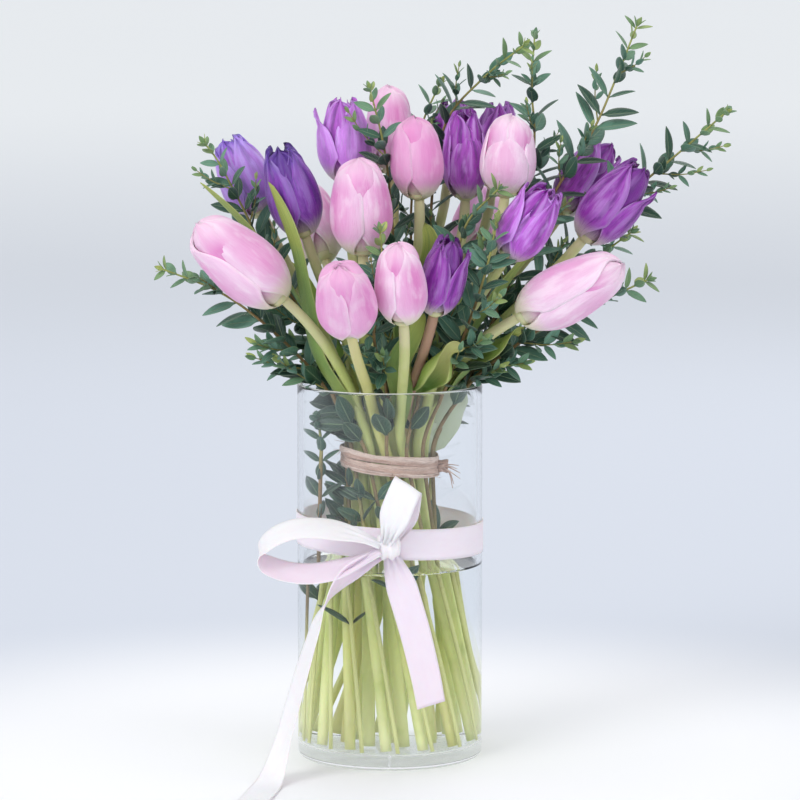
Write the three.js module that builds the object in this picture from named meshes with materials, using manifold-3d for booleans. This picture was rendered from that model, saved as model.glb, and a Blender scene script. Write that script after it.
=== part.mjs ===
// A clear glass cylinder vase of cut tulips and eucalyptus, tied with raffia above the water and with a
// satin ribbon round the glass. Millimetres, +Z up. The origin is the middle of the vase's underside.
// The front of the bouquet faces -Y and +X is to its right.
import * as THREE from "three";
import { mergeVertices } from "three/addons/utils/BufferGeometryUtils.js";
import Module from "manifold-3d";

const manifold = await Module();
manifold.setup();

// ---------- driving dimensions ----------
const CLEAR = 0.3; // between pieces that touch
const VASE = { radius: 60, height: 244.5, wall: 3.5, floor: 9, outerCorner: 4.5, innerCorner: 5, sides: 32 };
const WATER_TOP = 128;
const TIE = { height: 197, half: 7, inner: 30.8, outer: 32.3, lean: 0.11, sides: 16 };
const WINDING = { lower: 3, edge: 1, groove: 0.8 }; // how far below the tie's height it sits, and its ribs
const TIE_KNOT = { beyond: 2, front: -7, scale: [4, 3.2, 6] };
// the loose ends: how far beyond the winding, y, and height, from root to tip, and how thick they are there
const FRINGE = [
  [[1, -8, 3], [6, -12, 6], [12, -13, 3]],
  [[1, -8, 0], [7, -11, -1], [13, -10, -6]],
  [[1, -8, -3], [5, -13, -6], [8, -15, -12]],
];
const FRINGE_RADII = [1.6, 1, 0.5];
const RIBBON = { width: 20, thickness: 0.8, height: 148, lean: 0.05, tailOut: 3.4 };
const BOW_KNOT = { middle: [-1, -67.8, 148], scale: [13, 6.5, 11] };

const STEM = { radius: 3.5, sides: 5, footHeight: 10.4, everyPoint: 3, topGap: 0.6 };
const TWIG = { radius: 1.35, sides: 3, footHeight: 9.9, everyPoint: 3 };
const STEM_HOLE = { below: 8, extra: 0.1 }; // in the water: how far it starts below the foot, and its added clearance
// Each stem is a straight line below the tie, and the whole bundle is turned there as in a spiral bouquet.
const BUNDLE = {
  tulipRings: [1, 7, 12], // stems in each ring at the tie, from the middle out
  ringStep: 10.8,
  twigRing: 28.4,
  turn: THREE.MathUtils.degToRad(60), // of the feet against the tie
  tulipSpread: 2, // how far the feet stand out, in slot radii
  twigSpread: 1.76,
  lead: THREE.MathUtils.degToRad(36), // of the slots against the flowers
  middle: new THREE.Vector3(15, -5, 0), // of the flowers, seen from above
};
const SETTLE = {
  rounds: 160,
  gap: 2, // between strands once they have settled
  points: 28, // along each strand
  share: 0.5, // of each push that is taken in a round
  soften: 0.2, // how much of a bend is passed on to the points beside it
  mouthMargin: 1.2,
  mouthDepth: 6, // how far above the rim the strands still keep inside it
};

// ---------- the flowers: where each bud starts and ends, how wide it is, and how its petals stand ----------
const PINK = { color: 0xe9b6dc, roughness: 0.55, metalness: 0 };
const PURPLE = { color: 0x8a48b4, roughness: 0.55, metalness: 0 };
const STEM_GREEN = { color: 0xb4bf72, roughness: 0.6, metalness: 0 };
const LEAF_GREEN = { color: 0x4f7d5c, roughness: 0.6, metalness: 0 };
const FRONT = [0, -1, 0];
const FLOWERS = [
  { hue: PINK, base: [-67, -45, 303], tip: [-124, -60, 355], width: 43, toward: [-0.6, -0.3, -0.7], open: 0.34 },
  { hue: PURPLE, base: [-82, 15, 351], tip: [-106, 22, 401], width: 36, toward: FRONT, open: 0.05 },
  { hue: PURPLE, base: [-54, -15, 341], tip: [-72, -22, 400], width: 35, toward: FRONT, open: 0 },
  { hue: PURPLE, base: [-28, 12, 373], tip: [-30, 20, 428], width: 35, toward: [-1, -0.2, 0], open: 0.42 },
  { hue: PINK, base: [-17, -35, 331], tip: [-20, -45, 395], width: 41, toward: FRONT, open: 0 },
  { hue: PINK, base: [2, 40, 376], tip: [-1, 48, 436], width: 34, toward: FRONT, open: 0 },
  { hue: PINK, base: [19, -8, 364], tip: [16, -10, 419], width: 35, toward: FRONT, open: 0 },
  { hue: PURPLE, base: [38, 66, 370], tip: [43, 80, 423], width: 35, toward: [0, 1, 0], open: 0.1 },
  { hue: PURPLE, base: [49, 22, 361], tip: [49, 24, 420], width: 31, toward: FRONT, open: 0 },
  { hue: PURPLE, base: [67, 52, 367], tip: [72, 64, 422], width: 34, toward: [1, 0.5, 0], open: 0.15 },
  { hue: PINK, base: [74, -4, 365], tip: [79, -2, 420], width: 37, toward: FRONT, open: 0 },
  { hue: PINK, base: [-24, -87, 286], tip: [-31, -122, 334], width: 39, toward: FRONT, open: 0.04 },
  { hue: PINK, base: [9, -78, 291], tip: [5, -93, 346], width: 34, toward: FRONT, open: 0 },
  { hue: PURPLE, base: [28, -62, 295], tip: [39, -74, 346], width: 29, toward: [1, -0.3, 0], open: 0.4 },
  { hue: PURPLE, base: [74, -46, 330], tip: [103, -58, 376], width: 33, toward: [-1, -0.2, 0.5], open: 0.34 },
  { hue: PURPLE, base: [112, 34, 352], tip: [143, 44, 397], width: 34, toward: [1, 0, 0.5], open: 0.2 },
  { hue: PURPLE, base: [124, -10, 338], tip: [163, -14, 387], width: 36, toward: [0.7, -0.3, -0.7], open: 0.4 },
  { hue: PINK, base: [82, -48, 292], tip: [150, -66, 330], width: 40, toward: FRONT, open: 0 },
  { hue: PINK, base: [-42, 58, 318], tip: [-60, 90, 368], width: 37, toward: [0, 1, 0], open: 0.05 },
  { hue: PINK, base: [52, 82, 314], tip: [66, 118, 362], width: 37, toward: [0, 1, 0], open: 0 },
];
const BUD = {
  // radius along the bud, in half widths, at heights in bud lengths
  heights: [0, 0.1, 0.28, 0.46, 0.66, 0.84, 1],
  radii: [0.3, 0.66, 0.95, 1, 0.91, 0.68, 0.22],
  outer: { rows: [0.03, 0.28, 0.68, 1], columns: [-1, -0.36, 0.36, 1], half: 1, sunk: 0, length: 0.97 },
  inner: { rows: [0.06, 0.5, 1], columns: [-1, 0, 1], half: 0.84, sunk: 3.4, length: 0.96 },
  balls: [0.12, 0.3, 0.5, 0.7, 0.9], // heights of the balls that keep the other stems out of a bud
  rootShare: 0.35, // of the petal's half angle at its root
  rootEnd: 0.3, // the height where a petal reaches its full angle
  least: 1.2, // a petal's distance from the axis
  thickness: 1.5,
  // an opened petal leans out by so many half widths, mostly near its tip, and sinks and narrows as it does
  openLean: 1.5,
  openCurve: 2.4,
  openDrop: 0.22,
  openNarrow: 0.9,
  closedShare: 0.1, // how far the other petals open with it
  // what the petals grow from, in half widths and bud lengths
  heart: { sides: 5, profile: [[0, 0], [0.48, 0.05], [0, 0.15]] },
};

// ---------- tulip leaves: the flower whose stem each grows on, the point of that stem's line that it starts at,
// ---------- its width, and the points that its midrib runs through
const TULIP_LEAVES = [
  { flower: 2, from: 9, width: 17, through: [[-50, -8, 284], [-68, -19, 314], [-95, -23, 350], [-121, -20, 376]] },
  { flower: 1, from: 5, width: 19, through: [[-46, -32, 262], [-54, -38, 300], [-62, -40, 340], [-77, -30, 377]] },
  { flower: 7, from: 5, width: 24, through: [[8, 6, 250], [14, -18, 290], [24, -34, 334], [22, -40, 352]] },
  { flower: 13, from: 5, width: 16, through: [[8, -38, 240], [6, -46, 262], [16, -56, 284], [22, -58, 296]] },
  { flower: 14, from: 11, width: 22, through: [[22, -38, 250], [30, -46, 262], [38, -53, 272], [48, -58, 273]] },
  { flower: 18, from: 8, width: 24, through: [[44, -20, 248], [60, -26, 264], [76, -36, 280], [86, -36, 285]] },
  { flower: 18, from: 4, width: 17, through: [[32, -20, 223], [40, -26, 232], [45, -30, 240], [47, -31, 248]] },
  { flower: 17, from: 5, width: 24, through: [[42, -4, 258], [62, -14, 290], [80, -18, 316], [95, -20, 335]] },
  { flower: 19, from: 5, width: 26, through: [[-30, 30, 240], [-48, 46, 270], [-60, 56, 300], [-80, 62, 322]] },
  { flower: 20, from: 9, width: 24, through: [[24, 46, 256], [42, 60, 276], [58, 74, 290], [72, 88, 296]] },
];
const TULIP_LEAF = {
  rows: 6,
  root: 0.22, // its width at the stem, as a share of its full width
  lead: 0.06, // how soon it starts to widen
  thickness: 1.3,
  dish: 0.22,
  widths: [1, 0.85, 0.7, 0.55],
  rolls: [0, 0.35, -0.35, 0.7, -0.7, 1.1, -1.1],
  shifts: [0, -3, 3, -6, 6], // outwards from the vase's axis
};

// ---------- eucalyptus sprays: the points that each twig runs through above the tie ----------
const SPRAYS = [
  { through: [[50, 2, 243], [74, 8, 300], [104, 12, 362], [131, 14, 406], [146, 16, 440], [160, 20, 475]] },
  { through: [[50, 8, 249], [84, 12, 297], [122, 18, 332], [156, 14, 366], [188, 8, 394], [217, 0, 420]] },
  { through: [[24, 25, 240], [30, 36, 295], [27, 42, 352], [36, 46, 408], [61, 30, 440], [87, 14, 462]] },
  { through: [[33, 33, 238], [62, 36, 294], [88, 30, 360], [94, 30, 400], [92, 30, 434], [94, 30, 468]] },
  { through: [[-42, -12, 243], [-63, -16, 268], [-88, -20, 291], [-112, -22, 307], [-146, -26, 321]] },
  { through: [[-34, 8, 242], [-52, 10, 280], [-78, -8, 326], [-96, -10, 362], [-110, -14, 389], [-119, -14, 401]] },
  { through: [[7, 12, 241], [3, 12, 290], [2, 8, 340], [-1, 2, 378], [-5, -4, 404], [-13, -8, 436]] },
  { through: [[13, 42, 237], [15, 62, 292], [14, 74, 350], [20, 72, 402], [33, 76, 434]] },
  { through: [[24, -20, 244], [36, -26, 288], [42, -30, 324], [50, -34, 352], [70, -40, 374]] },
  { through: [[38, -28, 249], [48, -46, 281], [57, -58, 309], [64, -60, 335], [68, -60, 357]] },
  { through: [[-3, -30, 246], [-10, -52, 280], [-4, -62, 314], [-6, -66, 350]] },
  { through: [[50, -14, 243], [80, -20, 270], [106, -24, 287], [138, -24, 301], [166, -24, 314]] },
  { through: [[46, 18, 242], [70, 34, 280], [98, 38, 304], [130, 32, 320], [158, 28, 340]] },
  { through: [[-14, 46, 240], [-26, 74, 272], [-22, 96, 306], [-14, 108, 336]] },
];
// One short sprig stands outside the tie, at the left.
const LOOSE_SPRIG = { foot: [-49, -8], slot: [-44, -13], through: [[-44, -12, 207], [-46, -12, 224]] };
const SPRAY_LEAF = {
  spacing: 30, // between pairs of leaves along the twig
  first: 34, // of the first pair above the tie
  firstShare: 0.3, // of a short twig, where its first pair stands instead
  fromTip: 3,
  long: 27,
  short: 11,
  slimness: 0.33,
  plainUnder: 19, // a leaf shorter than this has a single section
  thickness: 1.2,
  fullBy: 75, // from the tip, where the leaves reach their full length
  pairTurn: Math.PI / 2,
  turnSpread: 0.7,
  lengthSpread: [0.85, 1.1],
  start: [0.2, 1, 0.1], // the side of the twig that the turns are counted from
  rises: [0.95, 0.55], // radians between twig and leaf, as it is first tried and then
  tries: [0, 0.6, -0.6, 1.2, -1.2], // radians round the twig
  // sections of a plain and of a longer leaf: place, width and droop as shares
  plainSections: [[0.5, 1, 0.03]],
  sections: [[0.32, 0.92, 0.01], [0.66, 0.86, 0.05]],
  tipDroop: 0.12,
};
const MERGE_WITHIN = 1e-4;

// ---------- small geometry helpers ----------
const at = (list) => new THREE.Vector3(...list);
const mix = (a, b, t) => a + (b - a) * t;
const about = (angle, radius, height) =>
  new THREE.Vector3(radius * Math.cos(angle), radius * Math.sin(angle), height);

/** The value at x of the line through the points (xs, ys). */
function follow(xs, ys, x) {
  let i = 1;
  while (i < xs.length - 1 && x > xs[i]) i++;
  return mix(ys[i - 1], ys[i], (x - xs[i - 1]) / (xs[i] - xs[i - 1]));
}

/** Any vector square to v, turned towards hint. */
function squareTo(v, hint) {
  return hint.clone().addScaledVector(v, -hint.dot(v)).normalize();
}

/** A repeatable sequence of numbers from 0 to 1. */
function randomFrom(seed) {
  let state = seed;
  return () => {
    state = (state * 1664525 + 1013904223) % 4294967296;
    return state / 4294967296;
  };
}

/** A closed mesh from points and triangles, with its faces turned outwards. */
function closedMesh(points, triangles) {
  const volume = triangles.reduce((sum, [a, b, c]) => {
    const across = new THREE.Vector3().crossVectors(points[b], points[c]);
    return sum + points[a].dot(across);
  }, 0);
  const faces = volume < 0 ? triangles.map(([a, b, c]) => [a, c, b]) : triangles;
  const geometry = new THREE.BufferGeometry();
  geometry.setAttribute("position", new THREE.Float32BufferAttribute(points.flatMap((p) => p.toArray()), 3));
  geometry.setIndex(faces.flat());
  return geometry;
}

/** A closed body through rings of points. A ring of one point is a tip. */
function loft(rings) {
  const points = rings.flat();
  const starts = rings.map((_, i) => rings.slice(0, i).reduce((n, ring) => n + ring.length, 0));
  const triangles = [];
  for (let i = 0; i < rings.length - 1; i++) {
    const n = Math.max(rings[i].length, rings[i + 1].length);
    const id = (row, k) => starts[row] + (rings[row].length === 1 ? 0 : k % n);
    for (let k = 0; k < n; k++) {
      if (rings[i].length > 1) triangles.push([id(i, k), id(i, k + 1), id(i + 1, k + 1)]);
      if (rings[i + 1].length > 1) triangles.push([id(i, k), id(i + 1, k + 1), id(i + 1, k)]);
    }
  }
  const last = rings.length - 1;
  for (let k = 1; k < rings[0].length - 1; k++) triangles.push([0, k + 1, k]);
  for (let k = 1; k < rings[last].length - 1; k++)
    triangles.push([starts[last], starts[last] + k, starts[last] + k + 1]);
  return closedMesh(points, triangles);
}

/** A thin closed body between two grids of points with the same rows, split alike on both faces. */
function blade(upper, lower, squareEdges = false) {
  const points = [];
  const keep = (p) => points.push(p) - 1;
  const top = [];
  const bottom = [];
  upper.forEach((row, i) => {
    const columns = Math.max(...upper.map((r) => r.length));
    if (row.length === 1) {
      top.push(Array(columns).fill(keep(row[0])));
      bottom.push(top[i]);
      return;
    }
    top.push(row.map(keep));
    const shared = (k) => !squareEdges && (k === 0 || k === columns - 1);
    bottom.push(lower[i].map((p, k) => (shared(k) ? top[i][k] : keep(p))));
  });
  const triangles = [];
  const add = (...ids) => {
    if (new Set(ids).size === 3) triangles.push(ids);
  };
  const quad = (a, b, c, d) => {
    add(a, b, c);
    add(a, c, d);
  };
  const rows = top.length - 1;
  const columns = top[0].length - 1;
  for (let i = 0; i < rows; i++) {
    for (let k = 0; k < columns; k++) {
      quad(top[i][k], top[i][k + 1], top[i + 1][k + 1], top[i + 1][k]);
      add(bottom[i][k], bottom[i + 1][k + 1], bottom[i][k + 1]);
      add(bottom[i][k], bottom[i + 1][k], bottom[i + 1][k + 1]);
    }
    if (squareEdges) {
      quad(top[i][0], top[i + 1][0], bottom[i + 1][0], bottom[i][0]);
      quad(top[i + 1][columns], top[i][columns], bottom[i][columns], bottom[i + 1][columns]);
    }
  }
  for (let k = 0; k < columns; k++) {
    quad(top[0][k + 1], top[0][k], bottom[0][k], bottom[0][k + 1]);
    quad(top[rows][k], top[rows][k + 1], bottom[rows][k + 1], bottom[rows][k]);
  }
  return closedMesh(points, triangles);
}

/** A path whose rings fall on the points it is given. */
class Route extends THREE.Curve {
  constructor(points) {
    super();
    this.points = points;
  }
  getPoint(t, target = new THREE.Vector3()) {
    const place = Math.min(Math.max(t, 0), 1) * (this.points.length - 1);
    const i = Math.min(Math.floor(place), this.points.length - 2);
    return target.lerpVectors(this.points[i], this.points[i + 1], place - i);
  }
  getUtoTmapping(u) {
    return u;
  }
}

/** A round tube of constant radius through the points. */
function tube(points, radius, sides) {
  const corner = (k) => new THREE.Vector2(radius, 0).rotateAround(new THREE.Vector2(), (k * 2 * Math.PI) / sides);
  const section = new THREE.Shape(Array.from({ length: sides }, (_, k) => corner(k)));
  const path = new Route(points);
  return new THREE.ExtrudeGeometry(section, { steps: points.length - 1, extrudePath: path });
}

/** A body of revolution about Z from [radius, height] pairs. */
function turned(profile, sides) {
  const points = profile.map(([radius, height]) => new THREE.Vector2(radius, height));
  return new THREE.LatheGeometry(points, sides).rotateX(Math.PI / 2);
}

/** A band set at a height, lower towards +X. */
function leaning(geometry, lean, height) {
  const slope = new THREE.Matrix4().makeShear(0, -lean, 0, 0, 0, 0);
  return geometry.applyMatrix4(slope).translate(0, 0, height);
}

/** Points on a quarter circle of a profile, from one angle to another. */
function arc(centreRadius, centreHeight, radius, from, to, steps) {
  return Array.from({ length: steps + 1 }, (_, i) => {
    const a = mix(from, to, i / steps);
    return [centreRadius + radius * Math.cos(a), centreHeight + radius * Math.sin(a)];
  });
}

// ---------- joining and cutting ----------
function toSolid(geometry) {
  const bare = geometry.clone();
  bare.deleteAttribute("normal");
  bare.deleteAttribute("uv");
  const merged = mergeVertices(bare, MERGE_WITHIN);
  return new manifold.Manifold(
    new manifold.Mesh({
      numProp: 3,
      vertProperties: new Float32Array(merged.attributes.position.array),
      triVerts: new Uint32Array(merged.index.array),
    }),
  );
}

function toGeometry(solid) {
  const mesh = solid.getMesh();
  const geometry = new THREE.BufferGeometry();
  geometry.setAttribute("position", new THREE.BufferAttribute(new Float32Array(mesh.vertProperties), 3));
  geometry.setIndex(new THREE.BufferAttribute(new Uint32Array(mesh.triVerts), 1));
  geometry.computeVertexNormals();
  return geometry;
}

/** The largest body of a solid, without its loose scraps and with its sealed hollows filled. */
function mainBody(solid) {
  const bodies = solid.decompose();
  return bodies.reduce((best, body) => (body.volume() > best.volume() ? body : best));
}

const union = (solids) => mainBody(manifold.Manifold.union(solids));
const crosses = (a, b) => !a.intersect(b).isEmpty();

// ---------- where the stems run ----------
/** Seats things in a ring at the tie, in the order of their angles, and gives each its slot's angle. */
function ringSlots(angles) {
  const order = angles.map((_, i) => i).sort((a, b) => angles[a] - angles[b]);
  const step = (2 * Math.PI) / order.length;
  const phase = order.reduce((sum, i, k) => sum + angles[i] - k * step, 0) / order.length;
  const slots = [];
  order.forEach((i, k) => {
    slots[i] = phase + BUNDLE.lead + k * step;
  });
  return slots;
}

const angleOf = (p) => Math.atan2(p.y - BUNDLE.middle.y, p.x - BUNDLE.middle.x);

/** The foot on the vase's floor of a stem with this slot at the tie. */
function footOf(slot, spread, height) {
  const foot = slot.clone().applyAxisAngle(new THREE.Vector3(0, 0, 1), BUNDLE.turn);
  foot.multiplyScalar(spread);
  foot.z = height;
  return foot;
}

function tulipSlots() {
  const bases = FLOWERS.map((flower) => at(flower.base));
  const reach = (i) => Math.hypot(bases[i].x - BUNDLE.middle.x, bases[i].y - BUNDLE.middle.y);
  const order = bases.map((_, i) => i).sort((a, b) => reach(a) - reach(b));
  const slots = [];
  let taken = 0;
  BUNDLE.tulipRings.forEach((count, ring) => {
    const members = order.slice(taken, taken + count);
    taken += count;
    const angles = ringSlots(members.map((i) => angleOf(bases[i])));
    members.forEach((i, k) => {
      slots[i] = about(angles[k], ring * BUNDLE.ringStep, TIE.height);
    });
  });
  return slots;
}

/** A smooth line through the points, as count points spaced evenly along it. */
function smoothLine(points, startSlope, endSlope, count) {
  const perSpan = 12;
  const slope = (i) => {
    if (i === 0) return startSlope;
    if (i === points.length - 1) return endSlope;
    return points[i + 1].clone().sub(points[i - 1]).multiplyScalar(0.5);
  };
  const fine = [points[0].clone()];
  for (let i = 0; i < points.length - 1; i++) {
    for (let k = 1; k <= perSpan; k++) {
      const t = k / perSpan;
      const p = points[i].clone().multiplyScalar(2 * t ** 3 - 3 * t ** 2 + 1);
      p.addScaledVector(slope(i), t ** 3 - 2 * t ** 2 + t);
      p.addScaledVector(points[i + 1], 3 * t ** 2 - 2 * t ** 3);
      p.addScaledVector(slope(i + 1), t ** 3 - t ** 2);
      fine.push(p);
    }
  }
  return spacedEvenly(fine, count);
}

function spacedEvenly(points, count) {
  const along = [0];
  for (let i = 1; i < points.length; i++) along.push(along[i - 1] + points[i].distanceTo(points[i - 1]));
  const total = along[along.length - 1];
  return Array.from({ length: count }, (_, k) => {
    const goal = (total * k) / (count - 1);
    let i = 1;
    while (i < points.length - 1 && along[i] < goal) i++;
    const t = (goal - along[i - 1]) / (along[i] - along[i - 1]);
    return points[i - 1].clone().lerp(points[i], t);
  });
}

/** Balls that fill a bud, which the stems of the others keep clear of. */
function budBalls(flower, owner) {
  const base = at(flower.base);
  const tip = at(flower.tip);
  return BUD.balls.map((t) => ({
    owner,
    centre: base.clone().lerp(tip, t),
    radius: (follow(BUD.heights, BUD.radii, t) * flower.width) / 2,
  }));
}

/** Bends the strands sideways, smoothly, until they clear each other, the buds and the vase's mouth. */
function settle(strands, balls) {
  const home = strands.map((strand) => strand.line.map((p) => p.clone()));
  const shift = strands.map((strand) => strand.line.map(() => new THREE.Vector3()));
  const mouth = VASE.radius - VASE.wall - SETTLE.mouthMargin;
  for (let round = 0; round < SETTLE.rounds; round++) {
    const push = strands.map((strand) => strand.line.map(() => new THREE.Vector3()));
    const gap = new THREE.Vector3();
    strands.forEach((a, ia) => {
      strands.slice(ia + 1).forEach((b, k) => {
        const need = a.radius + b.radius + SETTLE.gap;
        a.line.forEach((p, i) => {
          b.line.forEach((q, j) => {
            gap.subVectors(p, q);
            const far = gap.length();
            if (far >= need || far === 0) return;
            const part = (0.5 * (need - far)) / far;
            push[ia][i].addScaledVector(gap, part);
            push[ia + 1 + k][j].addScaledVector(gap, -part);
          });
        });
      });
      a.line.forEach((p, i) => {
        balls.forEach((ball) => {
          if (ball.owner === a.owner) return;
          gap.subVectors(p, ball.centre);
          const far = gap.length();
          const need = ball.radius + a.radius + SETTLE.gap;
          if (far < need) push[ia][i].addScaledVector(gap, (need - far) / far);
        });
        const radial = Math.hypot(p.x, p.y);
        const most = mouth - a.radius;
        if (p.z < VASE.height + SETTLE.mouthDepth && radial > most) {
          push[ia][i].x -= p.x * (1 - most / radial);
          push[ia][i].y -= p.y * (1 - most / radial);
        }
      });
    });
    strands.forEach((strand, s) => {
      const last = strand.line.length - 1;
      const free = (i) => i > 0 && (strand.owner === null || i < last - 1);
      const moved = shift[s].map((d, i) => d.clone().addScaledVector(push[s][i], free(i) ? SETTLE.share : 0));
      strand.line.forEach((p, i) => {
        if (!free(i)) return;
        const next = moved[Math.min(i + 1, last)];
        const mean = moved[i - 1].clone().lerp(next, 0.5);
        shift[s][i].copy(moved[i]).lerp(mean, SETTLE.soften);
        p.addVectors(home[s][i], shift[s][i]);
      });
    });
  }
}

/** All stems and twigs, each with its foot and its settled line from the tie upwards. */
function bundle() {
  const slots = tulipSlots();
  const strands = FLOWERS.map((flower, i) => {
    const foot = footOf(slots[i], BUNDLE.tulipSpread, STEM.footHeight);
    const base = at(flower.base);
    const axis = at(flower.tip).sub(base).normalize();
    const top = base.addScaledVector(axis, -STEM.topGap);
    const far = top.distanceTo(slots[i]);
    const rise = slots[i].clone().sub(foot).normalize().multiplyScalar(far);
    const line = smoothLine([slots[i], top], rise, axis.clone().multiplyScalar(far), SETTLE.points);
    return { owner: i, radius: STEM.radius, foot, line };
  });
  const angles = ringSlots(SPRAYS.map((spray) => Math.atan2(spray.through[0][1], spray.through[0][0])));
  SPRAYS.forEach((spray, i) => {
    const slot = about(angles[i], BUNDLE.twigRing, TIE.height);
    const foot = footOf(slot, BUNDLE.twigSpread, TWIG.footHeight);
    strands.push({ owner: null, radius: TWIG.radius, foot, line: twigLine(foot, slot, spray.through) });
  });
  const slot = new THREE.Vector3(...LOOSE_SPRIG.slot, TIE.height);
  const foot = new THREE.Vector3(...LOOSE_SPRIG.foot, TWIG.footHeight);
  strands.push({ owner: null, radius: TWIG.radius, foot, line: twigLine(foot, slot, LOOSE_SPRIG.through) });
  settle(strands, FLOWERS.flatMap(budBalls));
  return strands;
}

function twigLine(foot, slot, through) {
  const points = [slot, ...through.map(at)];
  const first = points[1].distanceTo(slot);
  const rise = slot.clone().sub(foot).normalize().multiplyScalar(first);
  const last = points.length - 1;
  const end = points[last].clone().sub(points[last - 1]);
  return smoothLine(points, rise, end, SETTLE.points);
}

// ---------- vase, water, tie and ribbon ----------
function vase() {
  const { radius, height, wall, floor, outerCorner, innerCorner } = VASE;
  const lip = wall / 2;
  const profile = [
    [0, 0],
    ...arc(radius - outerCorner, outerCorner, outerCorner, -Math.PI / 2, 0, 2),
    ...arc(radius - lip, height - lip, lip, 0, Math.PI, 4),
    ...arc(radius - wall - innerCorner, floor + innerCorner, innerCorner, 0, -Math.PI / 2, 2),
    [0, floor],
  ];
  return turned(profile, VASE.sides);
}

function waterBody(strands) {
  const radius = VASE.radius - VASE.wall - CLEAR;
  const corner = VASE.innerCorner;
  const bottom = VASE.floor + CLEAR;
  const profile = [
    [0, bottom],
    ...arc(radius - corner, bottom + corner, corner, -Math.PI / 2, 0, 2),
    [radius, WATER_TOP],
    [0, WATER_TOP],
  ];
  const holes = strands.map((strand) => {
    const rise = strand.line[0].clone().sub(strand.foot).normalize();
    const below = strand.foot.clone().addScaledVector(rise, -STEM_HOLE.below);
    const sides = strand.owner === null ? TWIG.sides : STEM.sides;
    return toSolid(tube([below, strand.line[0]], strand.radius + CLEAR + STEM_HOLE.extra, sides));
  });
  return mainBody(toSolid(turned(profile, VASE.sides)).subtract(manifold.Manifold.union(holes)));
}

/** A loose end of raffia, three-sided and tapering from the winding outwards. */
function looseEnd(places) {
  const sideways = new THREE.Vector3(1, 0, 0);
  const corners = [0, 1, 2].map((k) => new THREE.Vector3(0, 1, 0).applyAxisAngle(sideways, (k * 2 * Math.PI) / 3));
  const rings = places.map(([beyond, y, z], i) => {
    const middle = new THREE.Vector3(TIE.outer + beyond, y, z);
    return corners.map((corner) => middle.clone().addScaledVector(corner, FRINGE_RADII[i]));
  });
  return loft(rings);
}

function raffiaTie() {
  const { inner, outer, half } = TIE;
  const groove = outer - WINDING.groove;
  const profile = [
    [inner, -half],
    [outer, -half + WINDING.edge],
    [groove, -half / 3],
    [outer, 0],
    [groove, half / 3],
    [outer, half - WINDING.edge],
    [inner, half],
    [inner, -half],
  ];
  const knot = new THREE.SphereGeometry(1, 6, 4).scale(...TIE_KNOT.scale);
  knot.translate(outer + TIE_KNOT.beyond, TIE_KNOT.front, 0);
  const pieces = [turned(profile, TIE.sides), knot, ...FRINGE.map(looseEnd)].map(toSolid);
  return toSolid(leaning(toGeometry(union(pieces)), TIE.lean, TIE.height - WINDING.lower));
}

function ribbonBand() {
  const inner = VASE.radius + CLEAR;
  const outer = inner + RIBBON.thickness;
  const half = RIBBON.width / 2;
  const profile = [[inner, -half], [outer, -half], [outer, half], [inner, half], [inner, -half]];
  return leaning(turned(profile, VASE.sides), RIBBON.lean, RIBBON.height);
}

/** A flat ribbon along rows of [middle, direction across]. */
function ribbonStrip(rows) {
  const middles = rows.map(([middle]) => at(middle));
  const upper = [];
  const lower = [];
  rows.forEach(([, across], i) => {
    const before = middles[Math.max(i - 1, 0)];
    const after = middles[Math.min(i + 1, rows.length - 1)];
    const along = after.clone().sub(before).normalize();
    const side = squareTo(along, at(across)).multiplyScalar(RIBBON.width / 2);
    const face = along.clone().cross(side).normalize().multiplyScalar(RIBBON.thickness / 2);
    const edges = [middles[i].clone().sub(side), middles[i].clone().add(side)];
    upper.push(edges.map((p) => p.clone().add(face)));
    lower.push(edges.map((p) => p.clone().sub(face)));
  });
  return blade(upper, lower, true);
}

const LOOP_ACROSS = [0, 0.85, 0.53];
const FOLD_ACROSS = [0.8, -0.1, -0.57];
const LEFT_LOOP = [
  [-6, 149], [-22, 156], [-42, 160.5], [-60, 160], [-74, 154.5], [-82, 146], [-80, 138.5], [-70, 133.5], [-54, 131],
  [-36, 133], [-20, 139], [-6, 146],
].map(([x, z]) => [[x, -74, z], LOOP_ACROSS]);
const UPPER_LOOP = [
  [[-2, -74, 150], FOLD_ACROSS], [[1, -76, 160], FOLD_ACROSS], [[4.5, -77, 172], FOLD_ACROSS],
  [[9.5, -76, 184], FOLD_ACROSS], [[12, -72.5, 188], FOLD_ACROSS], [[11, -69, 183], FOLD_ACROSS],
  [[9, -67, 170], FOLD_ACROSS], [[5, -67, 158], FOLD_ACROSS], [[1, -70, 150], FOLD_ACROSS],
];
const RIGHT_TAIL = [[0, 150], [2, 138], [8.5, 118], [16, 92], [22, 67], [26.6, 43]].map(([x, z]) => {
  const out = VASE.radius + RIBBON.tailOut;
  const y = -Math.sqrt(out ** 2 - x ** 2);
  return [[x, y, z], [-y, x, 0]];
});
const LEFT_TAIL = [
  [[-2, -68, 146], [0.3, 0, 1]], [[-14, -72, 139], [0.4, -0.5, 0.8]], [[-29, -75, 128], [0.5, -0.8, 0.4]],
  [[-42, -77, 109], [0.5, -0.85, 0.1]], [[-50, -79, 87], [0.5, -0.85, 0]], [[-57, -81, 64], [0.55, -0.8, 0]],
  [[-63, -83, 42], [0.65, -0.75, 0]], [[-68, -86, 24], [0.8, -0.6, 0]], [[-73, -92, 9], [0.9, -0.4, 0]],
  [[-77, -104, 1.6], [1, 0, 0]], [[-80, -124, 0.6], [1, 0, 0]], [[-84, -150, 0.6], [1, 0, 0]],
  [[-87, -174, 0.6], [1, 0, 0]],
];

function ribbonBow() {
  const knot = new THREE.SphereGeometry(1, 8, 5).scale(...BOW_KNOT.scale).translate(...BOW_KNOT.middle);
  const strips = [LEFT_LOOP, UPPER_LOOP, RIGHT_TAIL, LEFT_TAIL].map(ribbonStrip);
  return union([knot, ...strips].map(toSolid));
}

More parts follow.
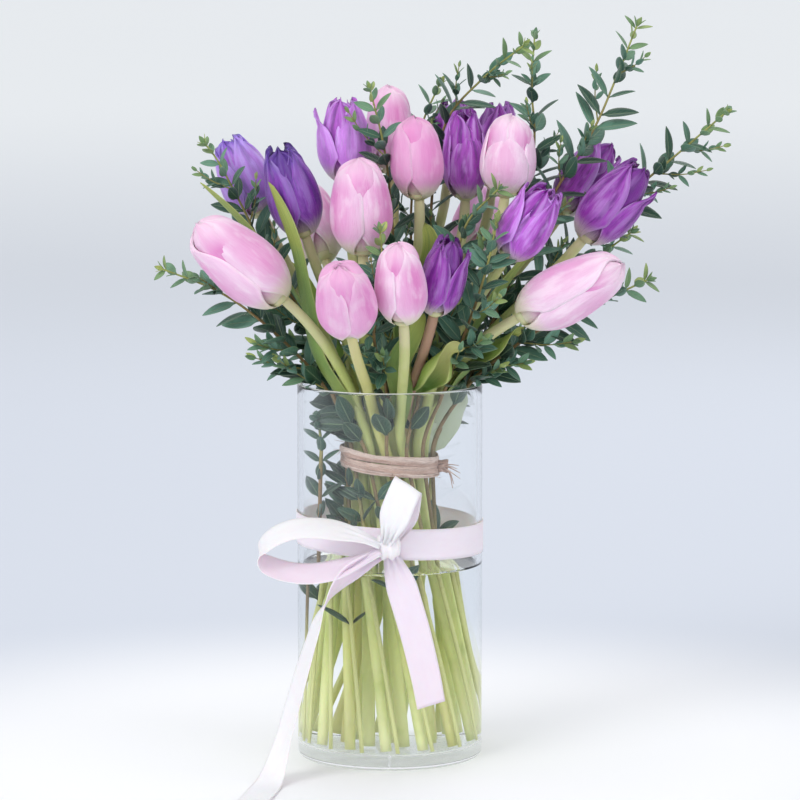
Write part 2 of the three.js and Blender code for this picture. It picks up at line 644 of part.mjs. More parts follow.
// ---------- tulips ----------
/** One petal in the bud's own frame, with the bud's axis along Z and its root at the origin. */
function petal(flower, kind, centre, open) {
  const length = at(flower.base).distanceTo(at(flower.tip));
  const half = flower.width / 2;
  const upper = [];
  const lower = [];
  kind.rows.forEach((u) => {
    const lean = open * half * BUD.openLean * u ** BUD.openCurve;
    const out = Math.max(follow(BUD.heights, BUD.radii, u) * half - kind.sunk, BUD.least);
    const height = u * length * kind.length * (1 - BUD.openDrop * open * u);
    if (u === 1) {
      upper.push([about(centre, out + lean, height)]);
      lower.push([]);
      return;
    }
    const width = kind.half * mix(BUD.rootShare, 1, Math.min(1, u / BUD.rootEnd));
    const narrow = 1 / (1 + (lean / half) * BUD.openNarrow);
    const place = (v, inwards) => {
      const angle = v * width * narrow;
      const p = about(centre + angle, out - inwards, height);
      return p.add(about(centre, lean, 0));
    };
    upper.push(kind.columns.map((v) => place(v, Math.abs(v) === 1 ? BUD.thickness / 2 : 0)));
    lower.push(kind.columns.map((v) => place(v, BUD.thickness)));
  });
  return blade(upper, lower);
}

function bud(flower) {
  const base = at(flower.base);
  const axis = at(flower.tip).sub(base).normalize();
  const front = squareTo(axis, at(flower.toward));
  const frame = new THREE.Matrix4().makeBasis(front, axis.clone().cross(front), axis).setPosition(base);
  const length = at(flower.tip).distanceTo(base);
  const heart = BUD.heart.profile.map(([out, height]) => [(out * flower.width) / 2, height * length]);
  const pieces = [turned(heart, BUD.heart.sides)];
  for (let k = 0; k < 3; k++) {
    const turn = (k * 2 * Math.PI) / 3;
    const closed = flower.open * BUD.closedShare;
    pieces.push(petal(flower, BUD.outer, turn, k === 0 ? flower.open : closed));
    pieces.push(petal(flower, BUD.inner, turn + Math.PI / 3, closed));
  }
  return union(pieces.map((piece) => toSolid(piece.applyMatrix4(frame))));
}

function stem(strand) {
  const rings = strand.line.filter((_, i) => i % STEM.everyPoint === 0);
  return toSolid(tube([strand.foot, ...rings], strand.radius, STEM.sides));
}

/** A tulip leaf from its stem through its points, dished along its midrib. */
function tulipLeaf(leaf, strand, widthShare, shift, roll, margin) {
  const start = strand.line[leaf.from];
  const through = leaf.through.map((place) => {
    const p = at(place);
    return p.addScaledVector(new THREE.Vector3(p.x, p.y, 0).normalize(), shift);
  });
  const rise = through[0].clone().sub(start);
  const last = through.length - 1;
  const end = through[last].clone().sub(through[last - 1]);
  const rib = smoothLine([start, ...through], rise, end, TULIP_LEAF.rows);
  const upper = [];
  const lower = [];
  rib.forEach((p, i) => {
    const u = i / (rib.length - 1);
    if (i === rib.length - 1) {
      upper.push([p]);
      lower.push([]);
      return;
    }
    const along = rib[i + 1].clone().sub(rib[Math.max(i - 1, 0)]).normalize();
    const outwards = new THREE.Vector3(p.x, p.y, 0);
    const face = squareTo(along, outwards).applyAxisAngle(along, roll);
    const side = along.clone().cross(face);
    const outline = mix(TULIP_LEAF.root, 1, Math.sin(Math.PI * Math.min(1, u + TULIP_LEAF.lead)));
    const half = (leaf.width / 2) * widthShare * outline + margin;
    const dish = face.clone().multiplyScalar(-TULIP_LEAF.dish * half);
    const left = p.clone().addScaledVector(side, -half).add(dish);
    const right = p.clone().addScaledVector(side, half).add(dish);
    upper.push([left, p.clone().addScaledVector(face, TULIP_LEAF.thickness + margin), right]);
    lower.push([left, p.clone().addScaledVector(face, -margin), right]);
  });
  return toSolid(blade(upper, lower));
}

// ---------- eucalyptus ----------
function twig(strand) {
  const rings = strand.line.filter((_, i) => i % TWIG.everyPoint === 0);
  return toSolid(tube([strand.foot, ...rings], strand.radius, TWIG.sides));
}

/** A small pointed leaf with a keel, from its root in the twig. */
function sprayLeaf(root, direction, face, length, margin) {
  const side = direction.clone().cross(face).normalize();
  const half = (length * SPRAY_LEAF.slimness) / 2 + margin;
  const section = ([t, width, droop]) => {
    const p = root.clone().addScaledVector(direction, t * length).addScaledVector(face, -droop * length);
    return [
      p.clone().addScaledVector(side, half * width).addScaledVector(face, margin),
      p.clone().addScaledVector(side, -half * width).addScaledVector(face, margin),
      p.clone().addScaledVector(face, -SPRAY_LEAF.thickness - margin),
    ];
  };
  const tip = root.clone().addScaledVector(direction, length + margin);
  tip.addScaledVector(face, -SPRAY_LEAF.tipDroop * length);
  const sections = length < SPRAY_LEAF.plainUnder ? SPRAY_LEAF.plainSections : SPRAY_LEAF.sections;
  return toSolid(loft([[root], ...sections.map(section), [tip]]));
}

/** Grows pairs of leaves along a twig, each turned until it is clear of everything else. */
function leafyTwig(owner, strand, seed) {
  const { line } = strand;
  const random = randomFrom(seed);
  const pieces = [twig(strand)];
  const step = line[1].distanceTo(line[0]);
  const whole = step * (line.length - 1);
  const first = Math.min(SPRAY_LEAF.first, whole * SPRAY_LEAF.firstShare);
  const count = Math.floor((whole - first - SPRAY_LEAF.fromTip) / SPRAY_LEAF.spacing) + 1;
  for (let pair = 0; pair < count; pair++) {
    const far = whole - SPRAY_LEAF.fromTip - (count - 1 - pair) * SPRAY_LEAF.spacing;
    const i = Math.min(Math.floor(far / step), line.length - 2);
    const root = line[i].clone().lerp(line[i + 1], far / step - i);
    const along = line[i + 1].clone().sub(line[i]).normalize();
    const square = squareTo(along, at(SPRAY_LEAF.start));
    const turn = pair * SPRAY_LEAF.pairTurn + (random() - 0.5) * SPRAY_LEAF.turnSpread;
    const grown = Math.min(1, (whole - far) / SPRAY_LEAF.fullBy);
    const length = mix(SPRAY_LEAF.short, SPRAY_LEAF.long, grown) * mix(...SPRAY_LEAF.lengthSpread, random());
    for (const opposite of [0, Math.PI]) {
      const leaf = growLeaf(owner, root, along, square, turn + opposite, length);
      if (leaf) pieces.push(leaf);
    }
  }
  return union(pieces);
}

/** The first way to set a leaf at this root that is clear of everything, or null. */
function growLeaf(owner, root, along, square, turn, length) {
  for (const rise of SPRAY_LEAF.rises) {
    for (const extra of SPRAY_LEAF.tries) {
      const away = square.clone().applyAxisAngle(along, turn + extra);
      const direction = along.clone().multiplyScalar(Math.cos(rise)).addScaledVector(away, Math.sin(rise));
      const face = squareTo(direction, along);
      if (isClear(owner, sprayLeaf(root, direction, face, length, CLEAR))) {
        const leaf = sprayLeaf(root, direction, face, length, 0);
        occupy(owner, leaf);
        return leaf;
      }
    }
  }
  return null;
}

/** The widest and flattest way to set a tulip leaf that is clear of everything, or null. */
function growTulipLeaf(owner, leaf, strand) {
  for (const widthShare of TULIP_LEAF.widths) {
    for (const shift of TULIP_LEAF.shifts) {
      for (const roll of TULIP_LEAF.rolls) {
        if (isClear(owner, tulipLeaf(leaf, strand, widthShare, shift, roll, CLEAR))) {
          const grown = tulipLeaf(leaf, strand, widthShare, shift, roll, 0);
          occupy(owner, grown);
          return grown;
        }
      }
    }
  }
  return null;
}

// ---------- the space that is taken, so that leaves are bent clear of it ----------
const taken = [];

function boxOf(solid) {
  const { min, max } = solid.boundingBox();
  return new THREE.Box3(at(Array.from(min)), at(Array.from(max)));
}

function occupy(owner, solid) {
  taken.push({ owner, solid, box: boxOf(solid) });
}

function isClear(owner, solid) {
  const box = boxOf(solid);
  return taken.every(
    (other) => other.owner === owner || !box.intersectsBox(other.box) || !crosses(solid, other.solid),
  );
}

// ---------- the whole bouquet ----------
const bouquet = new THREE.Group();

function addPiece(name, solid, look) {
  const mesh = new THREE.Mesh(toGeometry(solid), new THREE.MeshStandardMaterial(look));
  mesh.name = name;
  bouquet.add(mesh);
}

const numbered = (i) => String(i + 1).padStart(2, "0");
const strands = bundle();
const tulipStrands = strands.slice(0, FLOWERS.length);
const twigStrands = strands.slice(FLOWERS.length);

const plain = [
  ["vase", toSolid(vase()), { color: 0xe8f0f0, roughness: 0.03, metalness: 0, transparent: true, opacity: 0.3 }],
  ["water", waterBody(strands), { color: 0xdfeeec, roughness: 0.02, metalness: 0, transparent: true, opacity: 0.35 }],
  ["raffia_tie", raffiaTie(), { color: 0xcda58c, roughness: 0.85, metalness: 0 }],
  ["ribbon_band", toSolid(ribbonBand()), { color: 0xf0d6e4, roughness: 0.4, metalness: 0 }],
  ["ribbon_bow", ribbonBow(), { color: 0xf7e8f0, roughness: 0.4, metalness: 0 }],
];
plain.forEach(([name, solid, look]) => {
  addPiece(name, solid, look);
  occupy(name, solid);
});

FLOWERS.forEach((flower, i) => {
  const solid = bud(flower);
  addPiece(`tulip_${numbered(i)}_bloom`, solid, flower.hue);
  occupy(`bloom ${i}`, solid);
});
tulipStrands.forEach((strand, i) => occupy(`stem ${i}`, stem(strand)));
twigStrands.forEach((strand, i) => occupy(`twig ${i}`, twig(strand)));

const leafySolids = tulipStrands.map((strand) => [stem(strand)]);
TULIP_LEAVES.forEach((leaf) => {
  const i = leaf.flower - 1;
  const grown = growTulipLeaf(`stem ${i}`, leaf, tulipStrands[i]);
  if (grown) leafySolids[i].push(grown);
});
leafySolids.forEach((solids, i) => addPiece(`tulip_${numbered(i)}_stem`, union(solids), STEM_GREEN));
twigStrands.forEach((strand, i) => {
  addPiece(`eucalyptus_${numbered(i)}`, leafyTwig(`twig ${i}`, strand, 11 + i), LEAF_GREEN);
});

export default bouquet;
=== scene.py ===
import math

import bpy
import numpy as np
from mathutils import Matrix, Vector
from mathutils.bvhtree import BVHTree
from mathutils.kdtree import KDTree


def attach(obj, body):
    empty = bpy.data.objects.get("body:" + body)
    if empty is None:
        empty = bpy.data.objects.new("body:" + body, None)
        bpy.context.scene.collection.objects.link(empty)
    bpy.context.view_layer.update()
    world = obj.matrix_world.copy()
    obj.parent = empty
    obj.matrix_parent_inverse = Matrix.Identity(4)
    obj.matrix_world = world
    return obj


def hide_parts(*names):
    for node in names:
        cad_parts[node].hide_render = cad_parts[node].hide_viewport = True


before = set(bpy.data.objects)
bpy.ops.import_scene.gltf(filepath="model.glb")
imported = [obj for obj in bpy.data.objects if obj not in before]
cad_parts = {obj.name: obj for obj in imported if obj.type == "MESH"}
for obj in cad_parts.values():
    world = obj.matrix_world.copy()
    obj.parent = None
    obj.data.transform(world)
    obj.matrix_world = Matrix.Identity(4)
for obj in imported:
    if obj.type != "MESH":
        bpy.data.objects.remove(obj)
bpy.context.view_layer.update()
MM = 0.001
UP = np.array([0.0, 0.0, 1.0])

# ---------- the part's own sizes, as in its source ----------
VASE = dict(radius=60, height=244.5, wall=3.5, floor=9, outer_corner=4.5, inner_corner=5)
WATER_TOP = 128
TIE = dict(height=194, inner=30.8, outer=32.3, lean=0.11)
RIBBON = dict(width=20, height=148, lean=0.05, thickness=0.45)
STEM = dict(radius=3.5, foot=10.4, top_gap=0.6)
TWIG = dict(radius=1.35, foot=9.9)
TIE_SLOTS_AT = 197  # the height at which the stems keep to their slots
TULIP_RINGS = (1, 7, 12)
RING_STEP = 10.8
TWIG_RING = 28.4
BUNDLE_TURN = math.radians(60)
TULIP_SPREAD = 2
TWIG_SPREAD = 1.76
SLOT_LEAD = math.radians(36)
MIDDLE = np.array([15.0, -5.0])
SETTLE = dict(rounds=160, gap=2, points=28, soften=0.1, mouth_margin=1.2, mouth_reach=6,
              bud_balls=(0.12, 0.3, 0.5, 0.7, 0.9))

PINK = "pink"
PURPLE = "purple"
FRONT = (0, -1, 0)
# hue, base, tip, width, the side that the opened petal is on, and how far it opens
FLOWERS = [
    (PINK, (-67, -45, 303), (-124, -60, 355), 43, (-0.6, -0.3, -0.7), 0.1),
    (PURPLE, (-82, 15, 351), (-106, 22, 401), 36, FRONT, 0.05),
    (PURPLE, (-54, -15, 341), (-72, -22, 400), 35, FRONT, 0),
    (PURPLE, (-28, 12, 373), (-30, 20, 428), 35, (-1, -0.2, 0), 0.42),
    (PINK, (-17, -35, 331), (-20, -45, 395), 41, FRONT, 0),
    (PINK, (2, 40, 376), (-1, 48, 436), 34, FRONT, 0),
    (PINK, (19, -8, 364), (16, -10, 419), 35, FRONT, 0),
    (PURPLE, (38, 66, 370), (43, 80, 423), 35, (0, 1, 0), 0.1),
    (PURPLE, (49, 22, 361), (49, 24, 420), 31, FRONT, 0),
    (PURPLE, (67, 52, 367), (72, 64, 422), 34, (1, 0.5, 0), 0.15),
    (PINK, (74, -4, 365), (79, -2, 420), 37, FRONT, 0),
    (PINK, (-24, -87, 286), (-31, -122, 334), 39, FRONT, 0.04),
    (PINK, (9, -78, 291), (5, -93, 346), 34, FRONT, 0),
    (PURPLE, (28, -62, 295), (39, -74, 346), 29, (1, -0.3, 0), 0.3),
    (PURPLE, (74, -46, 330), (103, -58, 376), 33, (-1, -0.2, 0.5), 0.34),
    (PURPLE, (112, 34, 352), (143, 44, 397), 34, (1, 0, 0.5), 0.2),
    (PURPLE, (124, -10, 338), (163, -14, 387), 36, (0.7, -0.3, -0.7), 0.4),
    (PINK, (82, -48, 292), (150, -66, 330), 40, FRONT, 0),
    (PINK, (-42, 58, 318), (-60, 90, 368), 37, (0, 1, 0), 0.05),
    (PINK, (52, 82, 314), (66, 118, 362), 37, (0, 1, 0), 0),
]
BUD_HEIGHTS = (0, 0.1, 0.28, 0.46, 0.66, 0.84, 1)
BUD_RADII = (0.3, 0.66, 0.95, 1, 0.91, 0.68, 0.22)
OUTER_PETAL = dict(half=1.17, sunk_low=0.0, sunk_high=0.0, length=0.965, lap=0.5, narrows=0)
INNER_PETAL = dict(half=1.22, sunk_low=3.2, sunk_high=0.9, length=0.985, lap=0.25, narrows=0.2)
ROOT_SHARE = 0.35
PETAL_GRID = (40, 23)  # rows and columns
# how each hue's petals end: the bud's radius at the last three heights, where the petals start to narrow,
# how bluntly the outer and the inner ones do, how far they stand apart, how ragged and how crumpled they are
TOP_HEIGHTS = (0.82, 0.93, 1)
PETAL_STYLES = {
    PINK: dict(top=(0.78, 0.56, 0.05), narrows=0.52, blunt=(4, 18), splay=0.2, ragged=0.4, crumple=0.2),
    PURPLE: dict(top=(0.74, 0.58, 0.34), narrows=0.44, blunt=(3.4, 7), splay=1, ragged=2.8, crumple=0.5),
}
# the furled middle inside: the share of the bud's height and radius that it fills, and how much deeper it is
# painted, as painted shade inside the bud
LININGS = {PINK: dict(top=0.985, share=1, shade=-0.15), PURPLE: dict(top=0.9, share=0.92, shade=-0.75)}
OTHERS_OPEN = 0.1  # how far the other petals lean out, as a share of the opened one
STAMENS = 6
BLUE_VIOLET = "blue_violet"
# each petal material's streakiness, and its colours: deep (its streaks, and painted shade), root, flame,
# margin, tip, and painted highlight
PETAL_TINTS = {
    PINK: (0.25, (230, 140, 200), (236, 232, 200), (226, 132, 196), (244, 200, 230), (250, 222, 238),
           (254, 238, 247)),
    PURPLE: (1.0, (88, 4, 116), (224, 210, 204), (160, 34, 178), (190, 78, 212), (158, 36, 178),
             (226, 172, 250)),
    BLUE_VIOLET: (1.0, (70, 16, 124), (214, 198, 200), (152, 50, 180), (176, 92, 214), (110, 84, 196),
                  (202, 170, 246)),
}
# flowers whose petals are turned so that two of them meet in front, in degrees, by flower number
SPIN = {2: 42, 3: 60, 5: 60, 6: 20, 7: 42, 9: 8, 11: -14, 12: 56, 13: 40, 18: 66}
SHORT_FRONT = {9: 0.86, 11: 0.84}  # flowers whose front petal is shorter, and how long it is
BLUER = (2, 3)  # purple flowers with blue-violet tips
INNER_PAINTED_SHADE = 0.3  # how much deeper the inner petals are painted, as painted shade behind the outer ones
# how much lighter (or, below zero, deeper) than its hue a flower is painted, as painted light and shade for
# how brightly it is lit
PAINTED_LIGHT_AND_SHADE = {1: 0.12, 2: 0.4, 3: -0.5, 4: 0.42, 5: -0.05, 7: -0.5, 9: 0.1, 11: 0.3, 12: -0.3, 14: -0.45,
          15: 0.12, 17: -0.42, 18: 0.25}
ROSY_STEM = 14  # the flower with the brownish stem

# flower, point of its stem's line, width, and the points of the leaf's midrib
TULIP_LEAVES = [
    (2, 9, 17, [(-50, -8, 284), (-68, -19, 314), (-95, -23, 350), (-121, -20, 376)]),
    (1, 5, 19, [(-46, -32, 262), (-54, -38, 300), (-62, -40, 340), (-77, -30, 377)]),
    (7, 5, 24, [(8, 6, 250), (14, -18, 290), (24, -34, 334), (22, -40, 352)]),
    (13, 5, 16, [(8, -38, 240), (6, -46, 262), (16, -56, 284), (22, -58, 296)]),
    (14, 11, 22, [(22, -38, 250), (30, -46, 262), (38, -53, 272), (48, -58, 273)]),
    (18, 8, 24, [(44, -20, 248), (60, -26, 264), (76, -36, 280), (86, -36, 285)]),
    (18, 4, 17, [(32, -20, 223), (40, -26, 232), (45, -30, 240), (47, -31, 248)]),
    (17, 5, 24, [(42, -4, 258), (62, -14, 290), (80, -18, 316), (95, -20, 335)]),
    (19, 5, 26, [(-30, 30, 240), (-48, 46, 270), (-60, 56, 300), (-80, 62, 322)]),
    (20, 9, 24, [(24, 46, 256), (42, 60, 276), (58, 74, 290), (72, 88, 296)]),
]
TULIP_LEAF = dict(rows=6, root=0.22, dish=0.22, widths=(1, 0.85, 0.7, 0.55))
LEAF_BEND = -0.5  # half the angle that a leaf's section is bent through, away from the outside
LEAF_CURLS = {2: 0.9, 3: 0.5, 5: 0.7, 6: 0.4, 7: -0.9}  # the same at its tip, by leaf
WIDE_LEAF = dict(leaf=6, width=34, through=[(27, -10, 210), (33, -14, 224), (36, -17, 238), (37, -19, 250)],
                 shifts=(0, -3, 3, -6, 6, -9, 9, -12, 12))
FUNNEL_LEAF = dict(leaf=4, wider=2.1, rolled=2.5, open=1.5, lip=0.36)  # rolled into a funnel below its lip
PALE_LEAVES = {4: 0.9}  # how yellow the inner face is towards the tip
WIDE_LEAF_SHADE = 0.85
# how far a leaf is behind the solid's, point by point, where its flower's stem crosses it
LEAF_SETBACKS = {1: (0, 7.5, 7.5, 2, 0)}
INSIDE_GLASS = 55.3
FINE_LEAF = (40, 17)  # rows and columns
LEAF_ROLLS = (0, 0.35, -0.35, 0.7, -0.7, 1.1, -1.1)
LEAF_SHIFTS = (0, -3, 3, -6, 6)

SPRAYS = [
    [(50, 2, 243), (74, 8, 300), (104, 12, 362), (131, 14, 406), (146, 16, 440), (160, 20, 475)],
    [(50, 8, 249), (84, 12, 297), (122, 18, 332), (156, 14, 366), (188, 8, 394), (217, 0, 420)],
    [(24, 25, 240), (30, 36, 295), (27, 42, 352), (36, 46, 408), (61, 30, 440), (87, 14, 462)],
    [(33, 33, 238), (62, 36, 294), (88, 30, 360), (94, 30, 400), (92, 30, 434), (94, 30, 468)],
    [(-42, -12, 243), (-63, -16, 268), (-88, -20, 291), (-112, -22, 307), (-146, -26, 321)],
    [(-34, 8, 242), (-52, 10, 280), (-78, -8, 326), (-96, -10, 362), (-110, -14, 389), (-119, -14, 401)],
    [(7, 12, 241), (3, 12, 290), (2, 8, 340), (-1, 2, 378), (-5, -4, 404), (-13, -8, 436)],
    [(13, 42, 237), (15, 62, 292), (14, 74, 350), (20, 72, 402), (33, 76, 434)],
    [(24, -20, 244), (36, -26, 288), (42, -30, 324), (50, -34, 352), (70, -40, 374)],
    [(38, -28, 249), (48, -46, 281), (57, -58, 309), (64, -60, 335), (68, -60, 357)],
    [(-3, -30, 246), (-10, -52, 280), (-4, -62, 314), (-6, -66, 350)],
    [(50, -14, 243), (80, -20, 270), (106, -24, 287), (138, -24, 301), (166, -24, 314)],
    [(46, 18, 242), (70, 34, 280), (98, 38, 304), (130, 32, 320), (158, 28, 340)],
    [(-14, 46, 240), (-26, 74, 272), (-22, 96, 306), (-14, 108, 336)],
]
LOOSE_SPRIG = dict(foot=(-49, -8), slot=(-44, -13), through=[(-44, -12, 207), (-46, -12, 224)])
SPRAY_LEAF = dict(spacing=30, first=34, from_tip=3, long=27, short=11, slimness=0.33, full_by=75)
LEAF_RISES = (0.95, 0.55)
LEAF_TURNS = (0, 0.6, -0.6, 1.2, -1.2)
LEAF_START = (0.2, 1, 0.1)
LEAF_GRID = (10, 5)  # rows and columns of a fine leaf
LEAF_THICKNESS = 0.28
LOWEST_LEAF = -120  # of the fine leaves, along the twig from the tie
SHARE_BELOW_TIE = (0.5, 0.3)  # of the pairs there that are kept, above the water and under it
RIGHT_SHARE = dict(beyond=10, share=0.15)  # of those, on the right
WATER_FAR = -70
TIE_REACH = (-13, 12)  # the twig's bare part at the tie
FURTHER_GAP = 3.5  # the least way between a further pair and one of the solid's
SHOOT_LEAVES = (3, 5, 7, 9, 11)  # the points of a side shoot's line that have a pair
BOUQUET_MIDDLE = 15  # its x, from which leaves and shoots grow outwards
BEFORE_WIDE_LEAF = ((14, -60, 202), (54, 0, 246))  # the box that no further leaf starts in
LARGE_LEAVED_BELOW = 110  # where the side shoots' leaves are larger
CROWDED_BELOW = 130  # where smaller leaves are tried too
LOOSE_BARE_BELOW = -55

# the bow's strips: the middle of each row and the direction across the ribbon there
LOOP_ACROSS = (0, 0.85, 0.53)
FOLD_ACROSS = (0.8, -0.1, -0.57)
LEFT_LOOP = [
    ((x, -74, z), LOOP_ACROSS)
    for x, z in [(-6, 149), (-22, 156), (-42, 160.5), (-60, 160), (-74, 154.5), (-82, 146), (-80, 138.5),
                 (-70, 133.5), (-54, 131), (-36, 133), (-20, 139), (-6, 146)]
]
UPPER_LOOP = [
    (middle, FOLD_ACROSS)
    for middle in [(-2, -74, 150), (1, -76, 160), (4.5, -77, 172), (9.5, -76, 184), (12, -72.5, 188),
                   (11, -69, 183), (9, -67, 170), (5, -67, 158), (1, -70, 150)]
]
TAIL_OUT = VASE["radius"] + 3.4
RIGHT_TAIL = [
    ((x, -math.sqrt(TAIL_OUT**2 - x**2), z), (math.sqrt(TAIL_OUT**2 - x**2), x, 0))
    for x, z in [(0, 150), (2, 138), (8.5, 118), (16, 92), (22, 67), (26.6, 43)]
]
LEFT_TAIL = [
    ((-2, -68, 146), (0.3, 0, 1)), ((-14, -72, 139), (0.4, -0.5, 0.8)),
    ((-29, -75, 128), (0.5, -0.8, 0.4)), ((-42, -77, 109), (0.5, -0.85, 0.1)),
    ((-50, -79, 87), (0.5, -0.85, 0)), ((-57, -81, 64), (0.55, -0.8, 0)),
    ((-63, -83, 42), (0.65, -0.75, 0)), ((-68, -86, 24), (0.8, -0.6, 0)),
    ((-73, -92, 9), (0.9, -0.4, 0)), ((-77, -104, 1.6), (1, 0, 0)), ((-80, -124, 0.6), (1, 0, 0)),
    ((-84, -150, 0.6), (1, 0, 0)), ((-87, -174, 0.6), (1, 0, 0)),
]
# each strip's rows, how many points it has along, the shares of its length that are gathered at its start
# and its end, the phase of the gathered folds, and how pink its two faces are
STRIPS = [
    (LEFT_LOOP, 90, (0.2, 0.2), 0.0, (0.54, 0)),
    (UPPER_LOOP, 70, (0.25, 0.25), 1.0, (0.5, 0)),
    (RIGHT_TAIL, 50, (0.3, 0), 0.0, (0.53, 0.6)),
    (LEFT_TAIL, 90, (0.2, 0), 0.6, (0, 0.6)),
]
STRIP_COLUMNS = 13
GATHERED = 0.42  # the width at the knot, as a share of the ribbon's
BAND_GRID = (161, 9)
BAND_PINKNESS = (0.51, 0.5)
KNOT = dict(middle=(-1, -69, 148), reach=(8.5, 6, 8.5), grid=(40, 28))

STRANDS = (-4.9, -2.6, -0.2, 2.3, 4.8)  # the levels of the flat strands of raffia
THIN_FIBRES = 16
STRAY_FIBRES = 26
KNOT_TURNS = 9
# the loose ends of the raffia, as far out, across and up from the winding as each reaches
LOOSE_ENDS = [(12, -13, 3), (13, -10, -6), (8, -15, -12), (11, -12, 0.5), (9, -9, -10), (13, -12, -2)]

# Light bends between glass and water by the ratio of the two, where the water stands against the glass.
GLASS_INDEX = 1.48
WATER_INDEX = 1.333
ROUND_SIDES = 128

# in metres and watts
FLOOR_HALF = 40.0
LAMPS = {  # place, size and power
    "key": ((-1.6, -1.9, 1.9), (1.3, 1.3), 30),
    "fill": ((1.9, -1.4, 1.1), (1.2, 1.6), 8),
    "back": ((0.5, 2.0, 1.6), (1.6, 1.0), 8),
}
LAMPS_AIM = (0, 0, 0.25)
ROOM = dict(colour=(0.95, 0.97, 1, 1), strength=0.86)
CAMERA = dict(place=(0.00664, -3.0, 0.6136), tilt=0.1262, lens=210, sensor=36, reach=200)


# ---------- small geometry helpers ----------
def unit(v):
    v = np.asarray(v, float)
    return v / np.linalg.norm(v, axis=-1, keepdims=True)


def square_to(v, hint):
    """The part of hint square to the unit vector v."""
    hint = np.asarray(hint, float)
    return unit(hint - v * np.sum(hint * v, axis=-1, keepdims=True))


def turned(v, axis, angle):
    """v turned about a unit axis."""
    kept = axis * np.dot(axis, v) * (1 - math.cos(angle))
    return v * math.cos(angle) + np.cross(axis, v) * math.sin(angle) + kept


def mix(a, b, t):
    return a + (b - a) * t


def smooth_step(low, high, x):
    t = np.clip((x - low) / (high - low), 0, 1)
    return t * t * (3 - 2 * t)


def spaced_evenly(points, count):
    along = np.concatenate([[0], np.cumsum(np.linalg.norm(np.diff(points, axis=0), axis=1))])
    goals = np.linspace(0, along[-1], count)
    return np.stack([np.interp(goals, along, points[:, axis]) for axis in range(3)], axis=1)


def smooth_line(points, start_slope, end_slope, count):
    """A smooth line through the points, as count points spaced evenly along it."""
    points = np.array(points, float)
    slopes = np.empty_like(points)
    slopes[0] = start_slope
    slopes[-1] = end_slope
    slopes[1:-1] = (points[2:] - points[:-2]) / 2
    t = np.arange(1, 13)[:, None] / 12
    fine = [points[:1]]
    for i in range(len(points) - 1):
        start = points[i] * (2 * t**3 - 3 * t**2 + 1) + slopes[i] * (t**3 - 2 * t**2 + t)
        end = points[i + 1] * (3 * t**2 - 2 * t**3) + slopes[i + 1] * (t**3 - t**2)
        fine.append(start + end)
    return spaced_evenly(np.concatenate(fine), count)


def curve_through(points, count):
    """A smooth line through the points with natural ends."""
    points = np.array(points, float)
    return smooth_line(points, points[1] - points[0], points[-1] - points[-2], count)


def tangents(line):
    ahead = np.concatenate([line[1:], line[-1:]])
    behind = np.concatenate([line[:1], line[:-1]])
    return unit(ahead - behind)


def carried_normals(line, hint):
    """Unit vectors square to a line that turn as little as they can along it."""
    along = tangents(line)
    normals = [square_to(along[0], hint)]
    for t in along[1:]:
        normals.append(square_to(t, normals[-1]))
    return np.array(normals)


def random_from(seed):
    """The part's own repeatable sequence of numbers from 0 to 1."""
    state = seed
    while True:
        state = (state * 1664525 + 1013904223) % 4294967296
        yield state / 4294967296


# ---------- meshes ----------
class Build:
    """Collects surfaces into one mesh, with five numbers at each point that its material can read."""

    def __init__(self):
        self.points = []
        self.faces = []
        self.looks = []
        self.values = {"along": [], "across": [], "tone": [], "relief": [], "shade": []}
        self.count = 0

    def add(self, points, faces, look=0, **values):
        points = np.asarray(points, float).reshape(-1, 3)
        self.faces.extend([tuple(self.count + i for i in face) for face in faces])
        self.looks.extend(np.broadcast_to(look, len(faces)).tolist())
        self.points.append(points)
        for name, parts in self.values.items():
            value = np.asarray(values.get(name, 0.0), float).reshape(-1)
            parts.append(np.broadcast_to(value, (len(points),)))
        self.count += len(points)

    def make(self, name, materials, slot, replaces):
        mesh = bpy.data.meshes.new(name)
        mesh.from_pydata((np.concatenate(self.points) * MM).tolist(), [], self.faces)
        mesh.polygons.foreach_set("material_index", self.looks)
        mesh.polygons.foreach_set("use_smooth", [True] * len(self.faces))
        for key, parts in self.values.items():
            attribute = mesh.attributes.new(key, "FLOAT", "POINT")
            attribute.data.foreach_set("value", np.concatenate(parts).astype(np.float32))
        for material in materials:
            mesh.materials.append(material)
        mesh.update()
        piece = bpy.data.objects.new(name, mesh)
        bpy.context.scene.collection.objects.link(piece)
        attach(piece, "root")
        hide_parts(*replaces)
        return piece


def sheet_faces(rows, columns, offset=0):
    faces = []
    for i in range(rows - 1):
        for k in range(columns - 1):
            a = offset + i * columns + k
            faces.append((a, a + 1, a + columns + 1, a + columns))
    return faces


def over_sheets(shape, *values):
    """Each value at every point of a thin solid's two sheets, which are grids of one shape."""
    return [np.tile(np.broadcast_to(value, shape).ravel(), 2) for value in values]


def thin_solid(upper, lower):
    """Points and faces of the closed body between two sheets of points of one shape (rows, columns, 3)."""
    rows, columns = upper.shape[:2]
    half = rows * columns
    faces = sheet_faces(rows, columns)
    faces += [tuple(reversed(face)) for face in sheet_faces(rows, columns, half)]
    rim = list(range(columns))
    rim += [i * columns + columns - 1 for i in range(1, rows)]
    rim += [(rows - 1) * columns + k for k in range(columns - 2, -1, -1)]
    rim += [i * columns for i in range(rows - 2, 0, -1)]
    for a, b in zip(rim, rim[1:] + rim[:1]):
        faces.append((b, a, a + half, b + half))
    return np.concatenate([upper.reshape(-1, 3), lower.reshape(-1, 3)]), faces


def ring_faces(rings, sides):
    faces = []
    for i in range(rings - 1):
        for k in range(sides):
            a = i * sides + k
            b = i * sides + (k + 1) % sides
            faces.append((a, b, b + sides, a + sides))
    return faces


